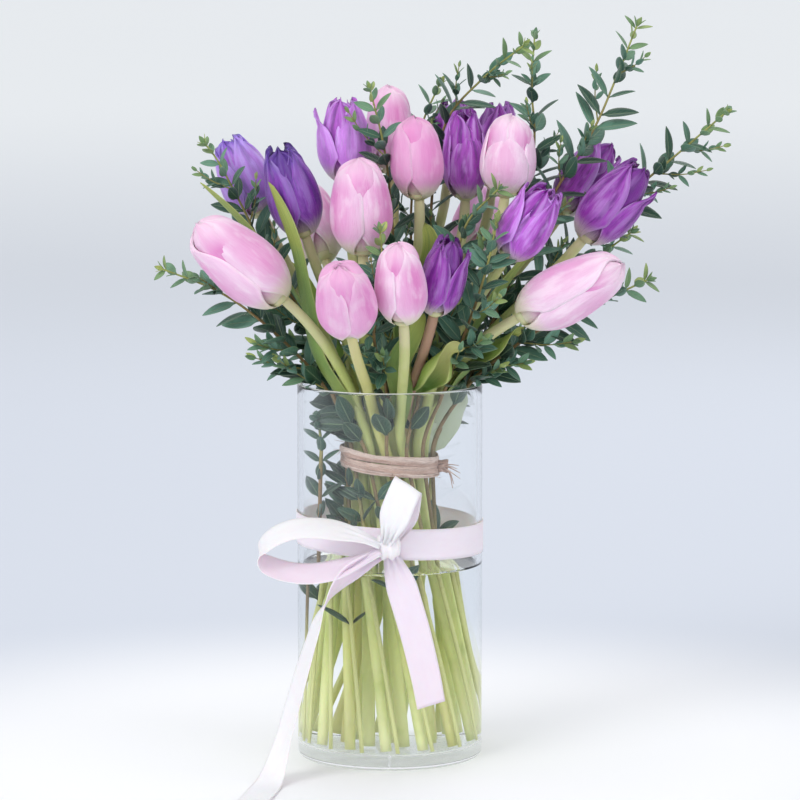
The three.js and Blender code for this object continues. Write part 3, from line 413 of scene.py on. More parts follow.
def tube(line, radii, sides, hint=(0.3, 1, 0.2), flatness=1.0):
    """Points and faces of a tube along a line, and how far along it each point is in millimetres.

    flatness is its thickness square to hint, as a share of its width."""
    line = np.asarray(line, float)
    along = tangents(line)
    normals = carried_normals(line, hint)
    others = np.cross(along, normals)
    angles = np.linspace(0, 2 * math.pi, sides, endpoint=False)
    radii = np.broadcast_to(np.asarray(radii, float).reshape(-1, 1, 1), (len(line), sides, 1))
    ring = normals[:, None] * np.cos(angles)[None, :, None]
    ring = ring + others[:, None] * np.sin(angles)[None, :, None] * flatness
    points = line[:, None] + ring * radii
    faces = ring_faces(len(line), sides)
    faces.append(tuple(range(sides - 1, -1, -1)))
    faces.append(tuple((len(line) - 1) * sides + k for k in range(sides)))
    far = np.concatenate([[0], np.cumsum(np.linalg.norm(np.diff(line, axis=0), axis=1))])
    return points.reshape(-1, 3), faces, np.repeat(far, sides)


def lathe(profile, sides):
    """Points and faces of a body turned about Z, from (radius, height) pairs that start and end on it."""
    middle = [p for p in profile if p[0] > 1e-9]
    angles = np.linspace(0, 2 * math.pi, sides, endpoint=False)
    points = [(r * math.cos(a), r * math.sin(a), z) for r, z in middle for a in angles]
    faces = ring_faces(len(middle), sides)
    first = len(points)
    points.append((0, 0, profile[0][1]))
    points.append((0, 0, profile[-1][1]))
    last_ring = (len(middle) - 1) * sides
    for k in range(sides):
        after = (k + 1) % sides
        faces.append((first, after, k))
        faces.append((first + 1, last_ring + k, last_ring + after))
    return np.array(points), faces


def arc(centre_radius, centre_height, radius, start, end, steps):
    angles = np.radians(np.linspace(start, end, steps + 1))
    return [(centre_radius + radius * math.cos(a), centre_height + radius * math.sin(a)) for a in angles]


# ---------- the solids' own points, to grow the fine pieces where the solids are ----------
def vertices_of(node):
    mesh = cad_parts[node].data
    points = np.empty(len(mesh.vertices) * 3)
    mesh.vertices.foreach_get("co", points)
    return points.reshape(-1, 3) / MM


def finder(node):
    """A function that says whether the node's solid has a corner at a point."""
    points = vertices_of(node)
    tree = KDTree(len(points))
    for i, point in enumerate(points):
        tree.insert(point, i)
    tree.balance()
    return lambda point: tree.find(Vector(point))[2] < 0.1


def solid_tree(node):
    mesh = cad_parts[node].data
    points = vertices_of(node)
    faces = [tuple(face.vertices) for face in mesh.polygons]
    return BVHTree.FromPolygons(points.tolist(), faces), points.min(0), points.max(0)


TREES = {node: solid_tree(node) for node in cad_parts}


def is_clear(points, faces, own_node):
    """Whether a small body touches none of the other nodes' solids."""
    low = points.min(0)
    high = points.max(0)
    body = None
    for node, (tree, node_low, node_high) in TREES.items():
        if node in (own_node, "water") or np.any(low > node_high) or np.any(high < node_low):
            continue
        body = body or BVHTree.FromPolygons(points.tolist(), faces)
        if body.overlap(tree):
            return False
    return True


# ---------- where the stems run ----------
def ring_slots(angles):
    order = sorted(range(len(angles)), key=lambda i: angles[i])
    step = 2 * math.pi / len(order)
    phase = sum(angles[i] - k * step for k, i in enumerate(order)) / len(order)
    slots = [0.0] * len(order)
    for k, i in enumerate(order):
        slots[i] = phase + SLOT_LEAD + k * step
    return slots


def on_ring(angle, radius, height):
    return np.array([radius * math.cos(angle), radius * math.sin(angle), height])


def foot_of(slot, spread, height):
    foot = turned(slot, UP, BUNDLE_TURN) * spread
    foot[2] = height
    return foot


def tulip_slots(tie_height):
    bases = np.array([flower[1] for flower in FLOWERS], float)
    aside = bases[:, :2] - MIDDLE
    reach = np.hypot(aside[:, 0], aside[:, 1])
    order = sorted(range(len(bases)), key=lambda i: reach[i])
    slots = [None] * len(bases)
    taken = 0
    for ring, count in enumerate(TULIP_RINGS):
        members = order[taken : taken + count]
        taken += count
        angles = ring_slots([math.atan2(aside[i, 1], aside[i, 0]) for i in members])
        for i, angle in zip(members, angles):
            slots[i] = on_ring(angle, ring * RING_STEP, tie_height)
    return slots


def twig_line(foot, slot, through):
    points = [slot] + [np.array(p, float) for p in through]
    rise = unit(slot - foot) * np.linalg.norm(points[1] - slot)
    return smooth_line(points, rise, points[-1] - points[-2], SETTLE["points"])


def bud_balls():
    """Balls that fill the buds, as the flower, the middle and the radius of each."""
    balls = []
    for owner, (_, base, tip, width, _, _) in enumerate(FLOWERS):
        for t in SETTLE["bud_balls"]:
            centre = mix(np.array(base, float), np.array(tip, float), t)
            balls.append((owner, centre, np.interp(t, BUD_HEIGHTS, BUD_RADII) * width / 2))
    return [np.array(column) for column in zip(*balls)]


def push_apart(line, first, second, need):
    """How the lines' points are moved by those of other lines that are nearer than they need to be."""
    flat = line.reshape(-1, 3)
    push = np.zeros_like(flat)
    gap = flat[first] - flat[second]
    far = np.sqrt(np.einsum("ij,ij->i", gap, gap))
    near = (far < need) & (far > 0)
    part = gap[near] * (0.5 * (need[near] - far[near]) / far[near])[:, None]
    np.add.at(push, first[near], part)
    np.add.at(push, second[near], -part)
    return push.reshape(line.shape)


def push_from_buds(line, thick, owner, balls):
    """How the lines' points are moved by the buds of other flowers."""
    ball_owner, ball_centre, ball_radius = balls
    need = ball_radius[None, None] + thick[:, None, None] + SETTLE["gap"]
    others = ball_owner[None] != owner[:, None]
    gap = line[:, :, None] - ball_centre
    far = np.linalg.norm(gap, axis=-1)
    weight = np.where((far < need) & others[:, None], (need - far) / far, 0)
    return (gap * weight[..., None]).sum(axis=2)


def push_from_mouth(line, thick):
    """How the lines' points are moved in x and y by the vase's mouth."""
    most = (VASE["radius"] - VASE["wall"] - SETTLE["mouth_margin"] - thick)[:, None]
    radial = np.hypot(line[..., 0], line[..., 1])
    squeezed = (line[..., 2] < VASE["height"] + SETTLE["mouth_reach"]) & (radial > most)
    share = np.where(squeezed, 1 - most / np.maximum(radial, 1), 0)
    return -line[..., :2] * share[..., None]


def settle(lines, radii, owners):
    """Bends the lines sideways, smoothly, until they clear each other, the buds and the vase's mouth."""
    balls = bud_balls()
    home = np.array(lines)
    shift = np.zeros_like(home)
    line = home.copy()
    count, points = home.shape[:2]
    owner = np.array([-1 if o is None else o for o in owners])
    thick = np.array(radii)
    strand = np.repeat(np.arange(count), points)
    first, second = np.triu_indices(count * points, 1)
    apart = strand[first] != strand[second]
    first = first[apart]
    second = second[apart]
    need = thick[strand[first]] + thick[strand[second]] + SETTLE["gap"]
    free = np.ones((count, points), bool)
    free[:, 0] = False
    free[owner >= 0, points - 2 :] = False
    for _ in range(SETTLE["rounds"]):
        push = push_apart(line, first, second, need)
        push += push_from_buds(line, thick, owner, balls)
        push[..., :2] += push_from_mouth(line, thick)
        moved = np.where(free[..., None], shift + push * 0.5, shift)
        after = np.concatenate([moved[:, 1:], moved[:, -1:]], axis=1)
        before = np.concatenate([moved[:, :1], moved[:, :-1]], axis=1)
        blurred = mix(moved, (before + after) / 2, SETTLE["soften"] * 2)
        shift = np.where(free[..., None], blurred, shift)
        line = home + shift
    return line


def bundle():
    """The foot and the settled line of each tulip stem, each twig and the loose sprig."""
    slots = tulip_slots(TIE_SLOTS_AT)
    feet = []
    lines = []
    for slot, (_, base, tip, _, _, _) in zip(slots, FLOWERS):
        base = np.array(base, float)
        axis = unit(np.array(tip, float) - base)
        top = base - axis * STEM["top_gap"]
        foot = foot_of(slot, TULIP_SPREAD, STEM["foot"])
        far = np.linalg.norm(top - slot)
        feet.append(foot)
        lines.append(smooth_line([slot, top], unit(slot - foot) * far, axis * far, SETTLE["points"]))
    for angle, through in zip(ring_slots([math.atan2(s[0][1], s[0][0]) for s in SPRAYS]), SPRAYS):
        slot = on_ring(angle, TWIG_RING, TIE_SLOTS_AT)
        foot = foot_of(slot, TWIG_SPREAD, TWIG["foot"])
        feet.append(foot)
        lines.append(twig_line(foot, slot, through))
    slot = np.array([*LOOSE_SPRIG["slot"], TIE_SLOTS_AT], float)
    foot = np.array([*LOOSE_SPRIG["foot"], TWIG["foot"]], float)
    feet.append(foot)
    lines.append(twig_line(foot, slot, LOOSE_SPRIG["through"]))
    tulips = len(FLOWERS)
    twigs = len(lines) - tulips
    radii = [STEM["radius"]] * tulips + [TWIG["radius"]] * twigs
    owners = list(range(tulips)) + [None] * twigs
    return feet, settle(lines, radii, owners)


# ---------- materials ----------
def tint(red, green, blue):
    """A colour given as a screen shows it, 0 to 255, as linear light."""
    values = []
    for channel in (red, green, blue):
        c = channel / 255
        values.append(c / 12.92 if c <= 0.04045 else ((c + 0.055) / 1.055) ** 2.4)
    return (*values, 1.0)


class Field:
    """A number or colour that differs over a surface. Numbers are added and multiplied as plain ones are."""

    def __init__(self, shader, socket):
        self.shader = shader
        self.socket = socket

    def __add__(self, other):
        return self.shader.maths("ADD", self, other)

    def __sub__(self, other):
        return self.shader.maths("SUBTRACT", self, other)

    def __mul__(self, other):
        return self.shader.maths("MULTIPLY", self, other)

    def __abs__(self):
        return self.shader.maths("ABSOLUTE", self)

    def sine(self):
        return self.shader.maths("SINE", self)

    def at_least(self, least):
        return self.shader.maths("MAXIMUM", self, least)

    def clamped(self):
        self.socket.node.use_clamp = True
        return self

    def spread(self, low, high):
        """Itself carried from low..high to 0..1."""
        inputs = {"Value": self, "From Min": low, "From Max": high}
        return self.shader.node("ShaderNodeMapRange", "Result", inputs, interpolation_type="SMOOTHSTEP")


class Shader:
    """A material's node tree round one Principled BSDF. Its colour is laid on in layers."""

    def __init__(self, name, **fixed):
        self.material = bpy.data.materials.new(name)
        self.material.use_nodes = True
        self.tree = self.material.node_tree
        self.surface = self.tree.nodes["Principled BSDF"]
        self.colour = None
        for socket, value in fixed.items():
            self.surface.inputs[socket.replace("_", " ")].default_value = value

    def node(self, kind, output, inputs=None, **settings):
        """One output of a new node."""
        made = self.tree.nodes.new(kind)
        for key, value in settings.items():
            setattr(made, key, value)
        for key, value in (inputs or {}).items():
            self.put(made.inputs[key], value)
        return Field(self, made.outputs[output])

    def put(self, socket, value):
        if isinstance(value, Field):
            self.tree.links.new(value.socket, socket)
        else:
            socket.default_value = value

    def attribute(self, name):
        return self.node("ShaderNodeAttribute", "Fac", attribute_name=name)

    def position(self):
        return self.node("ShaderNodeTexCoord", "Object")

    def maths(self, operation, a, b=0.0):
        return self.node("ShaderNodeMath", 0, {0: a, 1: b}, operation=operation)

    def noise(self, place, scale, detail=2.0, roughness=0.5):
        """Noise at a place, which may be given as three numbers."""
        if isinstance(place, tuple):
            place = self.node("ShaderNodeCombineXYZ", 0, dict(enumerate(place)))
        inputs = {"Vector": place, "Scale": scale, "Detail": detail, "Roughness": roughness}
        return self.node("ShaderNodeTexNoise", "Fac", inputs)

    def blend(self, share, a, b):
        a, b = [colour if isinstance(colour, Field) else tint(*colour) for colour in (a, b)]
        return self.node("ShaderNodeMix", 2, {0: share, 6: a, 7: b}, data_type="RGBA")

    def over(self, share, colour):
        """Lays a colour over what is there, by a share."""
        self.colour = self.blend(share, self.colour, colour)

    def ramp(self, value, *stops):
        """Starts the colour from a value, by stops of place and tint."""
        self.colour = self.node("ShaderNodeValToRGB", "Color", {"Fac": value})
        elements = self.colour.socket.node.color_ramp.elements
        while len(elements) < len(stops):
            elements.new(0.5)
        for element, (place, colour) in zip(elements, stops):
            element.position = place
            element.color = tint(*colour)

    def painted(self):
        """The material with its colour."""
        self.put(self.surface.inputs["Base Color"], self.colour)
        return self.material

    def bumped(self, height, distance, strength):
        """The material with its colour, where it has layers, and bumps."""
        inputs = {"Height": height, "Distance": distance, "Strength": strength}
        self.put(self.surface.inputs["Normal"], self.node("ShaderNodeBump", "Normal", inputs))
        return self.painted() if self.colour else self.material


def petal_material(name, streaks, deep_and_painted_shade, root, flame, margin, tip, painted_highlight):
    """A waxy petal: along runs from root to tip, across from edge to edge, and tone differs by petal."""
    shader = Shader(name, Roughness=0.4, Subsurface_Weight=0.25, Subsurface_Scale=0.004,
                    Subsurface_Radius=(1.0, 0.45, 0.7), Sheen_Weight=0.15, Sheen_Roughness=0.4)
    shader.surface.subsurface_method = "BURLEY"
    along, across, tone, relief, shade = map(shader.attribute, ("along", "across", "tone", "relief", "shade"))
    veins = shader.noise((across * mix(14.0, 5.0, streaks), along * 1.4, tone * 37.0), 3.2, 3.0, 0.6)
    broad = shader.noise((across * 2.0, along, tone * 91.0), 2.1, 2.0)
    cloud = shader.noise((across * 1.3, along * 1.5, tone * 17.0), 2.6, 3.0)
    side = abs(across)
    raised = relief + (veins - 0.5) * 1.6
    centre = (side + (veins - 0.5) * 0.7).spread(0.85, 0.05)
    reach = along.spread(0.08, 0.4) * along.spread(1.05, 0.7)
    flamed = ((centre * reach).clamped() * (broad * 1.1 + 0.3)).clamped()
    shader.colour = shader.blend(flamed, margin, flame)
    shader.over((along + broad * 0.2).spread(0.82, 1.12), tip)
    shader.over(veins.spread(0.52, 0.66) * (0.25 + 0.45 * streaks), deep_and_painted_shade)
    # painted shade in the grooves of the folds, and painted highlight on their ridges and in broad blotches
    shader.over(raised.spread(-0.1, -0.9) * (0.75 * streaks), deep_and_painted_shade)
    shader.over((raised + broad * 1.2).spread(0.5, 1.5) * (0.6 * streaks), painted_highlight)
    shader.over(cloud.spread(0.48, 0.72) * 0.5, painted_highlight)
    # a pale rim along the edges, partly the petal's own pale margin and partly painted highlight
    shader.over(side.spread(0.86, 1.0) * 0.75, painted_highlight)
    # painted light and shade: shade makes the whole flower lighter towards the highlight, or deeper
    shader.over(shade.at_least(0.0), painted_highlight)
    shader.over((shade * -1.0).at_least(0.0), deep_and_painted_shade)
    shader.over((along + (veins - 0.5) * 0.16).spread(0.26, 0.02), root)
    return shader.bumped(veins, 0.0011, 0.4 + 0.4 * streaks)


def stem_material():
    shader = Shader("tulip_stem_green", Roughness=0.45, Subsurface_Weight=0.2, Subsurface_Scale=0.003,
                    Subsurface_Radius=(0.6, 1.0, 0.2))
    along, across, tone = map(shader.attribute, ("along", "across", "tone"))
    blotches = shader.noise(shader.position(), 38.0, 3.0)
    shader.ramp(along, (0.0, (236, 238, 180)), (0.2, (228, 234, 150)), (0.5, (220, 228, 152)),
                (0.75, (196, 204, 128)), (1.0, (218, 212, 166)))
    shader.over(blotches.spread(0.45, 0.75) * 0.6, (182, 198, 98))
    shader.over(tone.spread(0.45, 0.8) * 0.45, (216, 202, 120))
    shader.over(tone.spread(0.9, 0.98) * along.spread(0.5, 0.8), (184, 146, 122))
    return shader.bumped(shader.noise((across, along * 4.0, tone), 24.0), 0.0005, 0.5)


def tulip_leaf_material():
    """relief is how yellow the leaf is, and shade how grey."""
    shader = Shader("tulip_leaf_green", Roughness=0.5, Subsurface_Weight=0.1, Subsurface_Scale=0.003,
                    Subsurface_Radius=(0.5, 1.0, 0.2))
    along, across, tone, relief, shade = map(shader.attribute, ("along", "across", "tone", "relief", "shade"))
    lines = shader.noise((across * 26.0, along * 1.2, tone * 53.0), 1.7, 4.0, 0.65)
    cloud = shader.noise(shader.position(), 26.0, 3.0)
    # darker in the lower part, as painted shade low in the bouquet, and yellower towards the tip
    shader.ramp(along, (0.0, (150, 166, 92)), (0.3, (128, 156, 82)), (0.7, (146, 172, 88)),
                (1.0, (204, 204, 104)))
    shader.over(lines.spread(0.35, 0.7), (116, 148, 80))
    shader.over(cloud.spread(0.42, 0.68) * 0.6, (160, 172, 78))
    shader.over(abs(across).spread(0.86, 1.0) * 0.5, (198, 200, 130))
    shader.over(relief, (214, 214, 146))
    shader.over(shade, (198, 208, 186))
    return shader.bumped(lines, 0.0008, 0.6)


def eucalyptus_leaf_material():
    shader = Shader("eucalyptus_leaf", Roughness=0.48, Sheen_Weight=0.08)
    along, across, tone = map(shader.attribute, ("along", "across", "tone"))
    cloud = shader.noise(shader.position(), 70.0, 3.0)
    side = abs(across)
    rib = side.spread(0.1, 0.02)
    shader.ramp(tone, (0.0, (30, 60, 46)), (0.3, (52, 94, 76)), (0.62, (108, 154, 132)),
                (0.82, (128, 160, 100)), (1.0, (190, 202, 108)))
    shader.over(cloud.spread(0.4, 0.7) * 0.4, (56, 98, 66))
    shader.over(rib * 0.55, (150, 172, 132))
    shader.over(side.spread(0.8, 1.0) * 0.4, (140, 158, 128))
    veins = ((along * 26.0 + side * -7.0) * 1.6).sine()
    return shader.bumped(veins * 0.22 + rib * -1.0, 0.0004, 0.6)


def twig_material():
    shader = Shader("eucalyptus_twig", Roughness=0.6)
    along = shader.attribute("along")
    bark = shader.noise(shader.position(), 190.0, 4.0, 0.6)
    shader.ramp(along, (0.0, (216, 218, 150)), (0.26, (204, 206, 132)), (0.42, (130, 110, 72)),
                (0.8, (146, 116, 76)), (1.0, (160, 170, 90)))
    shader.over(bark.spread(0.45, 0.7) * along.spread(0.1, 0.6) * 0.6, (90, 92, 56))
    return shader.bumped(bark, 0.0006, 0.7)


def satin_material():
    """tone is 0 on the white side and 1 on the pink one."""
    shader = Shader("pale_pink_satin", Roughness=0.36, Sheen_Weight=0.35, Sheen_Roughness=0.3,
                    Subsurface_Weight=0.15, Subsurface_Scale=0.002)
    along, across, tone = map(shader.attribute, ("along", "across", "tone"))
    warp = (across * 190.0).sine()
    weft = (along * 14.0).sine()
    cloud = shader.noise((across * 3.0, along * 0.12, tone), 1.0, 2.0)
    outside = shader.blend(cloud, (255, 254, 255), (253, 244, 249))
    inside = shader.blend(cloud, (252, 232, 247), (250, 225, 242))
    shader.colour = shader.blend(tone.spread(0.4, 0.6), outside, inside)
    shader.over(abs(across).spread(0.9, 0.99) * 0.5, (255, 246, 249))
    return shader.bumped(warp * 0.7 + weft * 0.3, 0.00012, 0.5)


def raffia_material():
    shader = Shader("raffia_fibre", Roughness=0.75, Sheen_Weight=0.15)
    along, across, tone = map(shader.attribute, ("along", "across", "tone"))
    grain = shader.noise((across * 9.0, along * 0.05, tone * 70.0), 3.0, 4.0, 0.7)
    shader.ramp(tone, (0.0, (240, 218, 206)), (0.35, (220, 188, 172)), (0.7, (206, 168, 152)),
                (1.0, (176, 138, 120)))
    shader.over(grain.spread(0.5, 0.68), (150, 110, 94))
    shader.over(grain.spread(0.48, 0.3), (248, 232, 220))
    return shader.bumped(grain, 0.0008, 0.8)


def clear_material(name, index, wave):
    """Clear glass or water, which lets the light through to what it lights. wave is its slow unevenness."""
    clear = tint(254, 255, 255)
    shader = Shader(name, Base_Color=clear, Roughness=0.0, IOR=index, Transmission_Weight=1.0)
    shader.bumped(shader.noise(shader.position(), 9.0, 1.0), wave, 0.4)
    shadow, diffuse = [shader.node("ShaderNodeLightPath", f"Is {ray} Ray") for ray in ("Shadow", "Diffuse")]
    inputs = {0: shadow.at_least(diffuse), 1: Field(shader, shader.surface.outputs[0]),
              2: shader.node("ShaderNodeBsdfTransparent", 0, {"Color": clear})}
    joined = shader.node("ShaderNodeMixShader", 0, inputs)
    shader.put(shader.tree.nodes["Material Output"].inputs["Surface"], joined)
    return shader.material


def painted_rim_highlight_material():
    # the lip is painted mostly white rather than clear, as a painted highlight for the bright line of light
    # along it
    shader = Shader("rim_painted_highlight", Base_Color=tint(255, 255, 255), Roughness=0.12, IOR=GLASS_INDEX,
                    Transmission_Weight=0.2)
    return shader.bumped(shader.noise(shader.position(), 30.0, 1.0), 0.0002, 0.4)


def heart_material():
    shader = Shader("flower_base", Roughness=0.5, Subsurface_Weight=0.2, Subsurface_Scale=0.003)
    speckle = shader.noise(shader.position(), 160.0, 3.0)
    shader.colour = shader.blend(speckle, (206, 208, 150), (222, 216, 176))
    return shader.bumped(speckle, 0.0003, 0.4)


def anther_material():
    shader = Shader("anther", Roughness=0.8)
    grain = shader.noise(shader.position(), 900.0, 3.0)
    shader.colour = shader.blend(grain, (40, 26, 44), (84, 60, 70))
    return shader.bumped(grain, 0.0004, 0.8)


# ---------- tulips ----------
def petal_waves(u, v, style, random):
    """A petal's wavy edge, its folds, how they crumple it, and its ragged tip."""
    phases = random.uniform(0, 6.28, 6)
    wave = np.sin(u * 8 + phases[0] + v * 2) * np.abs(v) ** 3 * 0.5 * smooth_step(0.25, 0.8, u)
    folds = np.sin(v * 9 + phases[1] + u * 3) + 0.6 * np.sin(v * 17 + phases[2] - u * 5)
    crumple = folds * style["crumple"] * smooth_step(0.25, 0.9, u) * mix(0.6, 1, np.abs(v))
    ragged = np.sin(v * 7 + phases[3]) + 0.7 * np.sin(v * 13 + phases[4]) + 0.4 * np.sin(v * 25 + phases[5])
    return wave, folds, crumple, ragged * style["ragged"] * 0.5 * smooth_step(0.6, 1, u)


def petal(flower, kind, centre, open_share, shortness, random):
    """The outer and inner sheets of one petal in the bud's own frame, and what its material reads there."""
    hue, base, tip, width, _, _ = flower
    style = PETAL_STYLES[hue]
    length = np.linalg.norm(np.array(tip, float) - np.array(base, float))
    half = width / 2
    t = np.linspace(0.02, 1, PETAL_GRID[0])[:, None]
    u = mix(t, np.sin(t * math.pi / 2), 0.6)  # closer rows towards the tip
    v = np.linspace(-1, 1, PETAL_GRID[1])[None]
    high = smooth_step(0.45, 0.82, u)
    lean = open_share * half * 0.8 * u**2.2
    splay = random.uniform(-0.5, 1) * style["splay"] * u**4
    radius = np.interp(u, *PROFILES[hue]) * half
    radius = mix(radius, np.maximum(radius, 0.8 * half * smooth_step(0, 0.5, u)), min(1, open_share * 2))
    radius = np.maximum(radius + splay - mix(kind["sunk_low"], kind["sunk_high"], high), 0.4)
    root = mix(ROOT_SHARE, 1, np.minimum(1, u / 0.3))
    narrows = style["narrows"] + kind["narrows"] + random.uniform(-0.04, 0.06)
    shoulder = np.clip((u - narrows) / (1 - narrows), 0, 1)
    bluntness = style["blunt"][kind is INNER_PETAL] + random.uniform(-0.2, 0.3)
    outline = np.maximum(1 - shoulder**bluntness, 0.02)
    reach = kind["half"] * root * outline / (1 + lean / half * 2)
    aside = v * reach + random.uniform(-0.09, 0.09) * u**2
    angle = centre + aside
    # its section is rounder than the bud, so the edges sink into creases, one edge over its neighbour's
    sunk_edge = 0.085 * radius * (aside / 1.05) ** 2 * smooth_step(0.08, 0.4, u)
    lap = kind["lap"] * v * smooth_step(0.1, 0.3, u)
    crease = -0.45 * np.exp(-((v / 0.06) ** 2)) * smooth_step(0.1, 0.5, u)
    wave, folds, crumple, ragged = petal_waves(u, v, style, random)
    # the height of the folds and the crease, which the material paints as painted highlight on ridges and
    # painted shade in grooves
    relief = folds / 1.6 * smooth_step(0.1, 0.5, u) + crease
    r = radius - sunk_edge + lap + crease + wave + crumple
    rise = length * kind["length"] * shortness * random.uniform(0.965, 1.0)
    z = u * rise * (1 - 0.22 * open_share * u) - v**2 * smooth_step(0.5, 1, u) * 1.8 + ragged
    thick = 0.85 * (1 - np.abs(v) ** 4) * (1 - 0.5 * u) + 0.28

    def place(radial):
        x = radial * np.cos(angle) + lean * math.cos(centre)
        y = radial * np.sin(angle) + lean * math.sin(centre)
        return np.stack([x, y, z], axis=-1)

    return place(r), place(np.maximum(r - thick, 0.3)), over_sheets(r.shape, u, v, relief)


def bud_profile(top):
    """Heights and the bud's radii there, smoothed from the solid's own profile with a top of its own."""
    heights = np.array(BUD_HEIGHTS[:5] + TOP_HEIGHTS)
    radii = np.array(BUD_RADII[:5] + top)
    fine = smooth_line(np.stack([heights, radii, 0 * radii], axis=1), (0.1, 0.4, 0), (0.02, -0.6, 0), 400)
    return fine[:, 0], fine[:, 1]


PROFILES = {hue: bud_profile(style["top"]) for hue, style in PETAL_STYLES.items()}


def bud_heart(put, length, half):
    """The base that the petals grow from, and the pistil and the stamens inside."""
    cup = [(0, -0.4), (3.0, -0.4), (0.3 * half, 0.6), (0.44 * half, 0.05 * length),
           (0.3 * half, 0.1 * length), (0, 0.13 * length)]
    put(*lathe(cup, 20), look=1)
    pistil = np.array([(0, 0, t * length * 0.4) for t in np.linspace(0.2, 1, 6)])
    put(*tube(pistil, [2.2, 2.3, 2.2, 2, 2.4, 1.4], 10)[:2], look=1)
    for k in range(STAMENS):
        a = k * math.pi / 3 + 0.3
        stalk = np.array([on_ring(a, 3 + 3 * t, length * (0.1 + 0.25 * t)) for t in np.linspace(0, 1, 5)])
        put(*tube(stalk, 0.6, 6)[:2], look=1)
        head = np.array([on_ring(a, 6 + t, length * (0.35 + 0.13 * t)) for t in np.linspace(0, 1, 6)])
        put(*tube(head, [0.5, 1.2, 1.3, 1.3, 1.1, 0.4], 8)[:2], look=2)


def bud_lining(put, hue, length, half):
    """The furled middle that shows between the petals' tips."""
    shape = LININGS[hue]
    heights = np.linspace(0.3, shape["top"], 12)
    radii = np.maximum(np.interp(heights, *PROFILES[hue]) * half * shape["share"] - 2.4, 0.4)
    profile = [(0, heights[0] * length * 0.95)]
    profile += [(r, h * length * 0.95) for r, h in zip(radii, heights)]
    profile.append((0, heights[-1] * length * 0.95 + 0.5))
    points, faces = lathe(profile, 36)
    angles = np.arctan2(points[:, 1], points[:, 0])
    # painted deeper by its shade, as painted shade inside the bud, with painted ridges and grooves from
    # relief
    put(points, faces, along=0.85, across=np.sin(3 * angles) * 0.8, tone=0.4, relief=np.sin(9 * angles),
        shade=shape["shade"])


def bloom(i, flower, materials):
    hue, base, tip, width, toward, open_share = flower
    base = np.array(base, float)
    axis = unit(np.array(tip, float) - base)
    front = turned(square_to(axis, toward), axis, math.radians(SPIN.get(i + 1, 0)))
    axes = np.stack([front, np.cross(axis, front), axis])
    build = Build()

    def put(points, faces, **looks):
        build.add(np.asarray(points).reshape(-1, 3) @ axes + base, faces, **looks)

    for k in range(3):
        for kind, turn in ((OUTER_PETAL, 0), (INNER_PETAL, math.pi / 3)):
            random = np.random.default_rng(100 * i + 10 * k + (kind is INNER_PETAL))
            first = k == 0 and kind is OUTER_PETAL
            opening = open_share * (1 if first else OTHERS_OPEN)
            shortness = SHORT_FRONT.get(i + 1, 1) if first else 1
            outer, inner, looks = petal(flower, kind, k * 2 * math.pi / 3 + turn, opening, shortness, random)
            along, across, relief = looks
            points, faces = thin_solid(outer, inner)
            # shade paints each flower lighter or deeper, and its inner petals deeper, as painted light and
            # shade
            put(points, faces, along=along, across=across, relief=relief, tone=random.uniform(0, 1),
                shade=PAINTED_LIGHT_AND_SHADE.get(i + 1, 0) - INNER_PAINTED_SHADE * (kind is INNER_PETAL))
    length = np.linalg.norm(np.array(tip, float) - base)
    bud_heart(put, length, width / 2)
    bud_lining(put, hue, length, width / 2)
    number = f"{i + 1:02d}"
    skin = materials[BLUE_VIOLET if i + 1 in BLUER else hue]
    looks = [skin, materials["heart"], materials["anther"]]
    return build.make(f"bloom_{number}", looks, f"{hue}_petal", [f"tulip_{number}_bloom"])


def leaf_candidates(leaf, line):
    """Each way that the solid's leaf may be set: its width, rib points and roll."""
    _, start, width, through = leaf
    for width_share in TULIP_LEAF["widths"]:
        for shift in LEAF_SHIFTS:
            points = []
            for p in np.array(through, float):
                points.append(p + shift * unit([p[0], p[1], 0]))
            rise = points[0] - line[start]
            ways = [line[start], *points], rise, points[-1] - points[-2]
            for roll in LEAF_ROLLS:
                yield width * width_share, ways, roll


def rib_frame(rib, roll):
    ahead = np.concatenate([rib[1:], rib[-1:] * 2 - rib[-2:-1]])
    behind = np.concatenate([rib[:1], rib[:-1]])
    along = unit(ahead - behind)
    outwards = rib * np.array([1, 1, 0])
    faces = []
    for t, hint in zip(along, outwards):
        faces.append(turned(square_to(t, hint), t, roll))
    faces = np.array(faces)
    return faces, np.cross(along, faces)


def outline_at(u):
    return TULIP_LEAF["root"] + (1 - TULIP_LEAF["root"]) * np.sin(math.pi * np.minimum(1, u + 0.06))


def tulip_leaf(build, k, line, has_corner):
    """The fine leaf where the solid has it, with its section bent more and more towards its tip."""
    for width, (points, rise, end), roll in leaf_candidates(TULIP_LEAVES[k], line):
        rib = smooth_line(points, rise, end, TULIP_LEAF["rows"])
        faces, sides = rib_frame(rib, roll)
        half = width / 2 * outline_at(2 / (TULIP_LEAF["rows"] - 1))
        corner = rib[2] - sides[2] * half - faces[2] * TULIP_LEAF["dish"] * half
        if has_corner(corner):
            break
    else:
        return
    if k == WIDE_LEAF["leaf"]:
        wide_leaf(build, k, points[0])
        return
    points = np.array(points, float)
    points[:, 1] += LEAF_SETBACKS.get(k, 0)
    rib = smooth_line(points, rise, end, FINE_LEAF[0])
    faces, sides = rib_frame(rib, roll)
    half, bend = leaf_section(k, width)
    add_leaf(build, k, leaf_body(k, rib, faces, sides, half, bend))


def add_leaf(build, k, leaf):
    """Adds a fine leaf, and lets is_clear know of it."""
    points, body, looks = leaf
    build.add(points, body, look=1, **looks)
    TREES[f"fine_leaf_{k}"] = (BVHTree.FromPolygons(points.tolist(), body), points.min(0), points.max(0))


